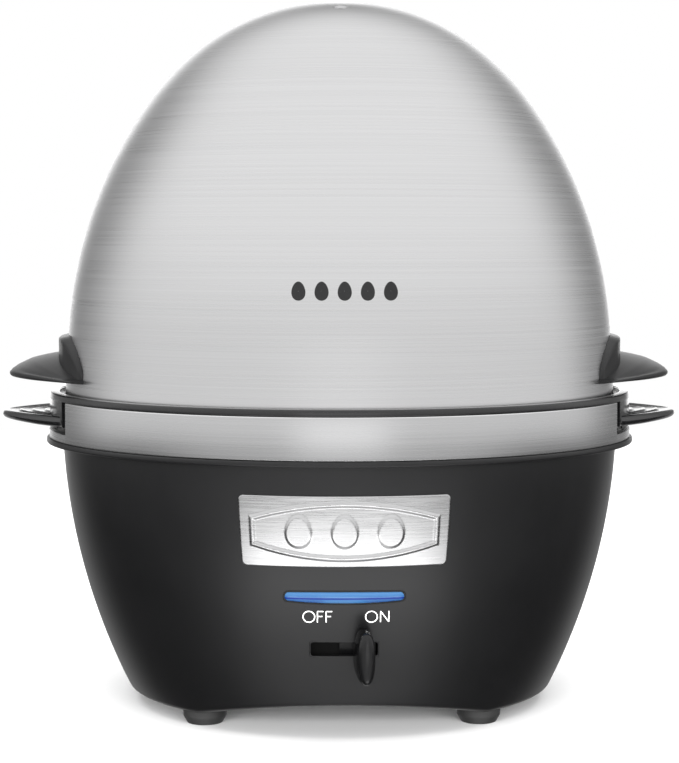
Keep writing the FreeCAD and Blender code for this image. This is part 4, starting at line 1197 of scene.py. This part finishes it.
@dataclass
class Housing:
    """Moulded housing: curved wall with a softened wavy foot, lip, rim wall and ledge."""

    skin: float = 2.4
    low: float = 4.3
    lip_reach: float = 3.0
    lip_skin: float = 1.5
    rim_wall: float = 1.3
    notch_turn: float = 23.4
    notch_floor: float = 84.6
    ledge: float = 82.2
    ledge_width: float = 4.3
    arch: float = 158.0
    crown: float = 10.3
    slot: Point = (9.35, 2.1)
    slot_level: float = 28.0
    boss: float = 9.0
    boss_face: float = 76.5
    boss_depth: float = 9.0
    slot_edge: float = 0.24
    slot_gap: float = 0.16

    def foot_level(self, x: float) -> float:
        """Height of the wall's lower edge at a distance from the middle."""
        return max(self.low, math.sqrt(self.arch ** 2 - x ** 2) - self.arch + self.crown)

    def section(self, turn: float, wall: Wall, lip: float, rim: float, rim_top: float) -> list[Point]:
        """The closed section of the housing at one direction.

        Args:
            turn: direction in radians.
            wall: the outer wall.
            lip: height of the lip's underside.
            rim: inside radius of the rim wall.
            rim_top: top of the rim wall there.

        Returns:
            Radius and height of each corner.
        """
        reach = wall.radius(self.low + 3.0)
        low = self.foot_level(reach * math.cos(turn))
        outside = [(wall.radius(z), z, 0.0) for z in spread(low + 5.2, lip - 1.2, 46)]
        inside = [(wall.radius(z) - self.skin, z, 0.0) for z in spread(lip - 3.0, low + 5.2, 14)]
        outer = rim + self.rim_wall
        return rounded_outline([
            (wall.radius(low) - 3.3, low, 0.9), (wall.radius(low), low, 3.4), *outside,
            (wall.radius(lip), lip, 0.5), (rim + self.lip_reach, lip, 0.45),
            (rim + self.lip_reach, lip + self.lip_skin, 0.5), (outer, lip + self.lip_skin, 0.0),
            (outer, rim_top, 0.3), (rim, rim_top, 0.3), (rim, self.ledge, 0.0),
            (rim - self.ledge_width, self.ledge, 0.4),
            (rim - self.ledge_width, self.ledge - 2.0, 0.0), *inside])

    def build(self, shop: Workshop, wall: Wall) -> None:
        """Sweep the section around, then open the switch slot.

        Args:
            shop: makes the pieces.
            wall: the housing's outer wall.
        """
        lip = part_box("steel_band")[0].z / MM - self.lip_skin - 0.05
        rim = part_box("housing")[1].y / MM - self.lip_reach
        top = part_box("housing")[1].z / MM
        turns = []
        for middle in (0.0, 180.0):
            turns += spread(middle - self.notch_turn, middle + self.notch_turn, 44)
            turns += spread(middle + self.notch_turn + 0.04, middle + 180.0 - self.notch_turn - 0.04, 130)
        rings = []
        for degrees in turns:
            beside = min(abs((degrees + 180.0) % 360.0 - 180.0), abs(degrees - 180.0))
            crown = self.notch_floor if beside <= self.notch_turn + 0.01 else top
            turn = math.radians(degrees)
            rings.append([(r * math.cos(turn), r * math.sin(turn), z)
                          for r, z in self.section(turn, wall, lip, rim, crown)])
        shape = Shape()
        shape.add_rings(rings, along=True)
        made = shop.piece("body_shell", shape, Body.BASE, "housing_black", ["housing"], crease=40.0)
        half, tall = self.slot
        slot = rounded_outline([(-half, self.slot_level - tall, 0.9), (half, self.slot_level - tall, 0.9),
                                (half, self.slot_level + tall, 0.9), (-half, self.slot_level + tall, 0.9)])
        front = wall.radius(self.slot_level)
        tool = Shape()
        tool.add_rings([[(x, -front + side, z) for x, z in slot] for side in (-6.0, 8.0)], capped=True)
        carve(made, tool)
        self.rims(shop, wall, slot)

    def rims(self, shop: Workshop, wall: Wall, slot: list[Point]) -> None:
        """Add the softened edge of the slot, and the boss around the cord's bushing.

        Args:
            shop: makes the pieces.
            wall: the housing's outer wall.
            slot: the slot's outline.
        """
        shape = Shape()
        rings = []
        for x, z in slot:
            gap = self.slot_gap
            out_x, out_z = (gap if x > 0 else -gap), (gap if z > self.slot_level else -gap)
            ring = []
            for swing in directions(10):
                wide = self.slot_edge * math.cos(swing)
                ring.append(wall.front(x + out_x + (wide if x > 0 else -wide),
                                       z + out_z + (wide if z > self.slot_level else -wide),
                                       -0.06 + 0.22 * math.sin(swing)))
            rings.append(ring)
        shape.add_rings(rings, along=True)
        bushing = middle_of("cord_bushing")
        face, back = self.boss_face, self.boss_face - self.boss_depth
        profile = rounded_outline([(5.0, back, 0.0), (5.0, face, 0.3), (self.boss, face, 0.9),
                                   (self.boss + 0.3, back, 0.0)])
        rings = [[(bushing.x + r * math.cos(swing), y, bushing.z + r * math.sin(swing)) for r, y in profile]
                 for swing in directions(72)]
        shape.add_rings(rings, along=True)
        shop.piece("body_edges", shape, Body.BASE, "housing_black", crease=50.0)


@dataclass
class NamePlate:
    """Thin steel plate with an oval raised border around three plain eggs."""

    half: float = 28.4
    corner: float = 1.5
    skin: float = 0.7
    oval_half: float = 25.25
    oval_rise: float = 7.6
    oval_end: float = 3.6
    line: float = 0.62
    relief: float = 0.42
    egg: Point = (3.9, 5.0)
    pitch: float = 12.5

    def border(self, x: float, z: float) -> float:
        """How high the raised border stands at a point, from 0 to 1.

        Args:
            x: distance from the middle.
            z: height.

        Returns:
            The share of the full relief.
        """
        share = min(1.0, abs(x) / self.oval_half)
        curve = self.oval_rise - (self.oval_rise - self.oval_end) * share ** 2
        off = min(curve - abs(z), self.oval_half - abs(x))
        return math.exp(-(off / self.line) ** 4)

    def eggs(self, x: float, z: float) -> float:
        """How high the raised eggs stand at a point, from 0 to 1.

        Args:
            x: distance from the middle.
            z: height.

        Returns:
            The share of the full relief.
        """
        best = 0.0
        for middle in (-self.pitch, 0.0, self.pitch):
            wide = self.egg[0] * (1.0 - 0.14 * z / self.egg[1])
            far = math.sqrt(((x - middle) / wide) ** 2 + (z / self.egg[1]) ** 2)
            best = max(best, min(1.0, max(0.0, (1.0 - far) * 4.5)))
        return best * best * (3.0 - 2.0 * best)

    def build(self, shop: Workshop, wall: Wall) -> None:
        """Wrap the plate around the wall and raise its relief.

        Args:
            shop: makes the pieces.
            wall: the housing's outer wall.
        """
        low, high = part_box("nameplate")
        bottom, top, half = low.z / MM, high.z / MM, high.x / MM
        level, tall = (low.z + high.z) / 2.0 / MM, (top - bottom) / 2.0
        reach = wall.radius(level) + self.skin
        turn = math.asin(half / reach)
        rows, wide = spread(-1.0, 1.0, 101), spread(-1.0, 1.0, 285)
        rings = []
        for v in rows:
            ring = []
            z = v * tall
            for u in wide:
                x = u * half
                edge = min(tall - abs(z), half - abs(x))
                corner_x, corner_z = abs(x) - (half - self.corner), abs(z) - (tall - self.corner)
                px, pz = x, z
                if corner_x > 0.0 and corner_z > 0.0:
                    far = math.hypot(corner_x, corner_z)
                    square = max(corner_x, corner_z)
                    scale = square / far if far > 1e-6 else 1.0
                    px = math.copysign(half - self.corner + corner_x * scale, x)
                    pz = math.copysign(tall - self.corner + corner_z * scale, z)
                    edge = self.corner - square
                bevel = 0.3 * (1.0 - math.sqrt(max(0.0, 1.0 - (1.0 - min(1.0, edge / 0.35)) ** 2)))
                raised = self.relief * max(self.border(px, pz), self.eggs(px, pz))
                proud = self.skin - 0.25 + raised - bevel
                angle = turn * px / half
                radius = wall.radius(level + pz) + proud
                ring.append((radius * math.sin(angle), -radius * math.cos(angle), level + pz))
            rings.append(ring)
        shape = Shape()
        shape.add_rings(rings, around=False)
        self.close_back(shape, rings, wall)
        shop.piece("name_panel", shape, Body.BASE, "name_steel", ["nameplate"], crease=60.0)

    @staticmethod
    def close_back(shape: Shape, rings: list[Ring], wall: Wall) -> None:
        """Turn the plate's edges back to the wall.

        Args:
            shape: receives the edges.
            rings: the face's rows of corners.
            wall: the wall behind the plate.
        """
        edge = [*rings[0], *(row[-1] for row in rings[1:-1]), *reversed(rings[-1]),
                *(row[0] for row in reversed(rings[1:-1]))]
        back = []
        for x, y, z in edge:
            turn = math.atan2(x, -y)
            radius = wall.radius(z) + 0.06
            back.append((radius * math.sin(turn), -radius * math.cos(turn), z))
        shape.add_rings([edge, back])


@dataclass
class IndicatorLens:
    """Lit window above the switch: a long lens, straight above and bowed below."""

    bulge: float = 0.6
    corner: float = 1.1
    bow: float = 0.42

    def edge(self, x: float, half: float, tall: float) -> tuple[float, float]:
        """Heights of the upper and lower edge, from the middle level.

        Args:
            x: distance from the middle of the lens.
            half: half its length.
            tall: half its height.

        Returns:
            The rise above and the drop below the middle level.
        """
        along = min(1.0, abs(x) / half)
        beyond = max(0.0, abs(x) - (half - self.corner)) / self.corner
        closing = math.sqrt(max(0.06, 1.0 - min(1.0, beyond) ** 2))
        return tall * (1.0 - 0.12 * along ** 2) * closing, tall * (1.0 - self.bow * along ** 2.4) * closing

    def build(self, shop: Workshop, wall: Wall) -> None:
        """Blow the lens up from its outline.

        Args:
            shop: makes the pieces.
            wall: the housing's outer wall.
        """
        low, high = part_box("indicator_lens")
        half, tall = high.x / MM, (high.z - low.z) / 2.0 / MM
        level = (low.z + high.z) / 2.0 / MM
        rings = []
        for u in spread(-1.0, 1.0, 161):
            x = half * math.sin(u * math.pi / 2.0)
            rise, drop = self.edge(x, half, tall)
            ends = math.sqrt(max(0.0, 1.0 - (abs(x) / half) ** 12))
            ring = []
            for v in spread(-1.0, 1.0, 21):
                proud = self.bulge * math.sqrt(max(0.0, 1.0 - v * v)) * ends
                ring.append(wall.front(x, level + (rise if v > 0.0 else drop) * v, proud + 0.02))
            ring.append(wall.front(x, level + rise, -0.6))
            ring.append(wall.front(x, level - drop, -0.6))
            rings.append(ring)
        shape = Shape()
        shape.add_rings(rings, capped=True)
        shop.piece("light_window", shape, Body.BASE, "lens_blue", ["indicator_lens"], crease=45.0)
        self.bezel(shop, wall, half, tall, level)

    def bezel(self, shop: Workshop, wall: Wall, half: float, tall: float, level: float) -> None:
        """Add the thin moulded edge around the window.

        Args:
            shop: where the piece is made.
            wall: the wall that it lies on.
            half: half the window's length.
            tall: half its height.
            level: height of its middle.
        """
        rings = []
        for turn in directions(200):
            x = math.copysign(abs(math.cos(turn)) ** 0.4, math.cos(turn)) * (half + 0.3)
            rise, drop = self.edge(x, half + 0.3, tall + 0.3)
            z = rise if math.sin(turn) > 0.0 else -drop
            ring = []
            for angle in directions(8):
                ring.append(wall.front(x + 0.2 * math.cos(angle) * math.cos(turn),
                                       level + z + 0.2 * math.cos(angle) * math.copysign(1.0, z),
                                       0.16 * math.sin(angle)))
            rings.append(ring)
        shape = Shape()
        shape.add_rings(rings, along=True)
        shop.piece("light_bezel", shape, Body.BASE, "housing_black", crease=60.0)


@dataclass
class SwitchLabels:
    """The words OFF and ON, printed on the wall above the switch."""

    level: float = 37.6
    tall: float = 3.2
    wide: float = 1.65
    stroke: float = 0.14

    def letter(self, kind: str, left: float) -> list[list[Point]]:
        """Centre lines of one letter.

        Args:
            kind: the letter.
            left: x of its left side.

        Returns:
            Lines, each a row of points.
        """
        low, high, mid = self.level - self.tall / 2.0, self.level + self.tall / 2.0, self.level + 0.15
        right = left + self.wide
        if kind == "O":
            centre, half, rise = left + 1.78, 1.62, self.tall / 2.0
            return [[(centre + half * math.cos(t), self.level + rise * math.sin(t))
                     for t in spread(0.0, 2.0 * math.pi, 41)]]
        if kind == "F":
            return [[(left, low), (left, high)], [(left, high), (right, high)],
                    [(left, mid), (right - 0.3, mid)]]
        left, right = left + 0.15, left + 2.45
        return [[(left, low), (left, high)], [(left, high), (right, low)], [(right, low), (right, high)]]

    def build(self, shop: Workshop, wall: Wall) -> None:
        """Lay the strokes of both words on the wall.

        Args:
            shop: makes the pieces.
            wall: the housing's outer wall.
        """
        shape = Shape()
        for word, start in (("OFF", -11.6), ("ON", 5.7)):
            left = start
            for kind in word:
                for line in self.letter(kind, left):
                    self.add_stroke(shape, wall, line)
                left += 4.15 if kind == "O" else 2.4
        shop.piece("switch_words", shape, Body.BASE, "terminal_white", crease=60.0)

    def add_stroke(self, shape: Shape, wall: Wall, line: list[Point]) -> None:
        """Add one stroke as a flat ribbon with a slight thickness.

        Args:
            shape: receives the stroke.
            wall: the housing's outer wall.
            line: the stroke's centre line.
        """
        dense = []
        for (x0, z0), (x1, z1) in zip(line, line[1:]):
            pieces = max(1, int(math.hypot(x1 - x0, z1 - z0) / 0.5))
            dense += [(x0 + (x1 - x0) * s / pieces, z0 + (z1 - z0) * s / pieces) for s in range(pieces)]
        dense.append(line[-1])
        rings = []
        for index, (x, z) in enumerate(dense):
            before, after = dense[max(0, index - 1)], dense[min(len(dense) - 1, index + 1)]
            along = Vector((after[0] - before[0], after[1] - before[1])).normalized()
            side = Vector((-along.y, along.x)) * self.stroke
            one, two = (x + side.x, z + side.y), (x - side.x, z - side.y)
            rings.append([wall.front(*one, 0.03), wall.front(*two, 0.03),
                          wall.front(*two, -0.02), wall.front(*one, -0.02)])
        shape.add_rings(rings, capped=True)


@dataclass
class SwitchKnob:
    """Sliding knob: an upright oval blade on a stem."""

    middle: float = 5.4
    wide: float = 2.9
    tall: float = 7.75
    level: float = 26.8
    lean: float = 0.8
    stem_left: float = 6.6
    stem_right: float = 3.6
    stem_half: float = 1.8
    stem_back: Sequence[float] = (9.0, 7.2, 7.0)
    steps: Sequence[Point] = ((0.02, 0.9), (0.06, 0.98), (0.12, 1.0), (0.5, 0.97), (0.75, 0.92),
                              (0.87, 0.84), (0.94, 0.72), (0.98, 0.55), (1.0, 0.3))

    def build(self, shop: Workshop, wall: Wall) -> None:
        """Loft the blade from the wall outwards, and add its stem in the slot.

        Args:
            shop: makes the pieces.
            wall: the housing's outer wall.
        """
        low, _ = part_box("switch_knob")
        middle, wide, tall, level = self.middle, self.wide, self.tall, self.level
        front = -low.y / MM
        near = wall.radius(level)
        shape = Shape()
        rings = []
        depth = front - near
        for share, size in self.steps:
            ring = []
            for turn in directions(56):
                across = math.copysign(abs(math.cos(turn)) ** 0.8, math.cos(turn))
                upward = math.copysign(abs(math.sin(turn)) ** 0.86, math.sin(turn))
                x = middle + self.lean * share ** 2 + wide * (size ** 1.4) * across
                z = (tall - wide * (1.0 - size) * 0.9) * upward
                base = wall.radius(level + z) - near
                ring.append((x, -(near + base * (1.0 - share) + depth * share), level + z))
            rings.append(ring)
        shape.add_rings(rings, capped=True)
        left, right = middle - self.stem_left, middle + self.stem_right
        bottom, top = level - self.stem_half, level + self.stem_half
        stem = rounded_outline([(left, bottom, 0.6), (right, bottom, 0.6),
                                (right, top, 0.6), (left, top, 0.6)])
        shape.add_rings([[(x, -(near - back), z) for x, z in stem] for back in self.stem_back], capped=True)
        shop.piece("slide_knob", shape, Body.SWITCH, "knob_black", ["switch_knob"], crease=50.0)


@dataclass
class Foot:
    """Round rubber foot with a drafted side and a softened sole."""

    node: str

    def build(self, shop: Workshop) -> None:
        """Turn the foot about its own axis.

        Args:
            shop: makes the pieces.
        """
        low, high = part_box(self.node)
        centre, radius = (low + high) / 2.0 / MM, (high.x - low.x) / 2.0 / MM
        top = min(high.z / MM, 11.6)
        shape = Shape()
        shape.add_lathe(rounded_outline([
            (0.02, 0.5, 0.0), (radius - 2.6, 0.5, 0.3), (radius - 2.3, 0.0, 0.3), (radius - 1.5, 0.0, 0.6),
            (radius - 0.25, 2.2, 0.9), (radius, top, 0.4), (0.02, top, 0.0)]), 72, (centre.x, centre.y))
        shop.piece(f"{self.node}_pad", shape, Body.BASE, "foot_rubber", [self.node])


# ---- studio ----------------------------------------------------------------------------------

@dataclass
class Studio:
    """Pale floor, soft lights, surroundings and the camera."""

    distance: float = 0.6656
    height: float = 0.1418
    swing: float = -1.0
    pitch: float = -3.8
    lens: float = 101.4

    def camera(self) -> None:
        """Place the camera before the object."""
        data = bpy.data.cameras.new("camera")
        data.lens = self.lens
        data.sensor_width = 36.0
        data.clip_start, data.clip_end = 0.01, 50.0
        made = bpy.data.objects.new("camera", data)
        turn = math.radians(self.swing)
        made.location = (self.distance * math.sin(turn), -self.distance * math.cos(turn), self.height)
        made.rotation_euler = (math.radians(90.0 + self.pitch), 0.0, turn)
        bpy.context.scene.collection.objects.link(made)
        bpy.context.scene.camera = made

    def floor(self) -> None:
        """Lay a wide pale floor."""
        mesh = bpy.data.meshes.new("floor")
        work = bmesh.new()
        bmesh.ops.create_circle(work, cap_ends=True, segments=96, radius=0.95)
        work.to_mesh(mesh)
        work.free()
        made = bpy.data.objects.new("floor", mesh)
        bpy.context.scene.collection.objects.link(made)
        material = bpy.data.materials.new("floor_paper")
        material.use_nodes = True
        graph = Graph(material.node_tree)
        x, y, _ = graph.place()
        fleck = graph.noise(x * 400.0, y * 400.0, 0.0)
        base = graph.mix(fleck, (0.9, 0.9, 0.9, 1.0), (0.93, 0.93, 0.93, 1.0))
        shader = graph.node("ShaderNodeBsdfPrincipled", {}, {"Base Color": base, "Roughness": 0.9,
                                                             "Specular IOR Level": 0.0})
        graph.add("ShaderNodeOutputMaterial", {}, {"Surface": shader})
        made.data.materials.append(material)
        made.visible_glossy = False

    def light(self, name: str, place: Corner, aim: Corner, size: Point, power: float,
              glossy: bool = True) -> None:
        """Add a soft area light.

        Args:
            name: the light's name.
            place: where it stands.
            aim: the point that it faces.
            size: its two sides in metres.
            power: its power in watts.
            glossy: whether glossy surfaces mirror it.
        """
        data = bpy.data.lights.new(name, "AREA")
        data.shape = "RECTANGLE"
        data.size, data.size_y = size
        data.energy = power
        made = bpy.data.objects.new(name, data)
        made.location = place
        made.rotation_euler = (Vector(aim) - Vector(place)).to_track_quat("-Z", "Y").to_euler()
        made.visible_camera = False
        made.visible_glossy = glossy
        bpy.context.scene.collection.objects.link(made)

    def surroundings(self) -> None:
        """Wrap the scene in a room that is bright in front and dim to the sides and behind."""
        world = bpy.data.worlds.new("room")
        bpy.context.scene.world = world
        world.use_nodes = True
        graph = Graph(world.node_tree)
        direction = graph.node("ShaderNodeTexCoord", output="Generated")
        split = graph.node("ShaderNodeSeparateXYZ", {}, {0: direction})
        x, y, z = (Wire(graph, split.socket.node.outputs[axis]) for axis in "XYZ")
        facing = (0.0 - y) / ((x * x + y * y).root() + 0.0001)
        behind = 0.0 - facing
        upper = (facing.ramp(-0.72, -0.15) * 0.66 + 0.28) * (z.ramp(0.05, 0.5) * 0.14 + 0.88)
        crest = z.ramp(0.45, 0.88)
        upper = upper * (1.0 - crest) + crest * 0.98
        lower = facing.ramp(0.0, 0.85) * 0.4 + 0.03
        rim = behind.ramp(0.6, 0.95) * 0.5
        down = 0.0 - z
        patch = facing.ramp(0.5, 0.88) * down.ramp(0.4, 0.56) * (1.0 - down.ramp(0.54, 0.7) * 0.9) * 3.4
        card = facing.ramp(0.94, 0.975) * (1.0 - abs(z + 0.09).ramp(0.05, 0.12)) * 0.5
        backdrop = behind.ramp(0.88, 0.97) * (1.0 - abs(z - 0.12).ramp(0.16, 0.3)) * 2.0
        rise = z.ramp(-0.17, -0.08)
        strength = upper * rise + (lower + rim) * (1.0 - rise) + patch + card + backdrop
        camera_ray = graph.node("ShaderNodeLightPath", output="Is Camera Ray")
        total = strength * (1.0 - camera_ray) + camera_ray
        glow = graph.node("ShaderNodeBackground", {}, {"Color": (1.0, 1.0, 1.0, 1.0), "Strength": total})
        graph.add("ShaderNodeOutputWorld", {}, {"Surface": glow})

    def build(self) -> None:
        """Set up everything around the object."""
        self.camera()
        self.floor()
        self.surroundings()
        self.light("overhead", (0.0, 0.0, 1.6), (0.0, 0.0, 0.0), (2.4, 2.4), 42.0, glossy=False)
        self.light("front_fill", (0.0, -1.5, 0.34), (0.0, 0.0, 0.0), (2.4, 0.5), 62.0, glossy=False)
        bpy.context.scene.view_settings.view_transform = "Standard"


BLACK = (0.0042, 0.0042, 0.0045)

FINISHES: dict[str, Finish] = {
    "lid_steel": BrushedSteel("lid_steel_finish", roughness=0.3),
    "plate_steel": BrushedSteel("plate_steel_finish", tint=(0.62, 0.62, 0.625), roughness=0.34),
    "name_steel": LevelSteel("name_steel_finish"),
    "handle_black": Moulded("handle_finish", BLACK, 0.4),
    "tray_black": Moulded("tray_finish", BLACK, 0.2, coat=0.5),
    "housing_black": Moulded("housing_finish", BLACK, 0.34),
    "cover_black": Moulded("cover_finish", (0.02, 0.02, 0.02), 0.55, Grain.MATT),
    "knob_black": Moulded("knob_finish", (0.003, 0.003, 0.0032), 0.22),
    "switch_black": Moulded("switch_finish", (0.004, 0.004, 0.004), 0.6, Grain.MATT),
    "buzzer_black": Moulded("buzzer_finish", (0.02, 0.02, 0.02), 0.5, Grain.MATT),
    "gasket_rubber": Moulded("gasket_finish", (0.3, 0.3, 0.31), 0.6, Grain.MATT),
    "bushing_rubber": Moulded("bushing_finish", (0.02, 0.02, 0.02), 0.6, Grain.MATT),
    "foot_rubber": Moulded("foot_finish", (0.02, 0.02, 0.02), 0.5, Grain.MATT),
    "spacer_nylon": Moulded("spacer_finish", (0.75, 0.75, 0.72), 0.45),
    "led_clear": Moulded("led_finish", (0.5, 0.68, 0.92), 0.12, Grain.POLISHED),
    "thermostat_brown": Moulded("thermostat_finish", (0.16, 0.08, 0.05), 0.45),
    "fuse_white": Moulded("fuse_finish", (0.78, 0.78, 0.75), 0.2, Grain.POLISHED, 0.6),
    "terminal_white": Moulded("terminal_finish", (0.82, 0.82, 0.8), 0.45),
    "lead_red": Moulded("red_lead_finish", (0.45, 0.03, 0.03), 0.45, Grain.POLISHED),
    "lead_white": Moulded("white_lead_finish", (0.74, 0.74, 0.7), 0.45, Grain.POLISHED),
    "screw_steel": WornMetal("screw_finish", (0.66, 0.66, 0.67), 0.26),
    "bracket_zinc": WornMetal("bracket_finish", (0.6, 0.61, 0.63), 0.38),
    "element_steel": WornMetal("element_finish", (0.34, 0.31, 0.28), 0.45, 0.45),
    "shield_aluminium": WornMetal("shield_finish", (0.76, 0.76, 0.77), 0.32),
    "board_green": BoardResist("board_finish"),
}


def main() -> None:
    """Build the egg cooker from the lid down, then the studio around it."""
    logging.basicConfig(level=logging.INFO, format="%(name)s: %(message)s")
    lens_low, lens_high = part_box("indicator_lens")
    lens = LitLens("lens_finish", lens_high.x, (lens_low.z + lens_high.z) / 2.0)
    band_low, band_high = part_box("steel_band")
    # the band's lower and upper edges get a painted highlight from this finish
    band = BrushedSteel("band_steel_finish", tint=(0.67, 0.67, 0.675), roughness=0.25, lines=2100.0,
                        contrast=0.06, edges=(band_low.z, band_high.z))
    shop = Workshop({**FINISHES, "lens_blue": lens, "band_steel": band})
    wall = Wall()
    LidShell().build(shop)
    LidHandle().build(shop)
    LidEmblem().build(shop)
    EggTray().build(shop)
    SteelBand().build(shop)
    Housing().build(shop, wall)
    NamePlate().build(shop, wall)
    IndicatorLens().build(shop, wall)
    SwitchLabels().build(shop, wall)
    SwitchKnob().build(shop, wall)
    for place in ("front_left", "front_right", "back_left", "back_right"):
        Foot(f"foot_{place}").build(shop)
    shop.dress_nodes(frame["nodes"])
    LOG.info("%d pieces made", shop.count)
    Studio().build()


if __name__ == "__main__":
    main()
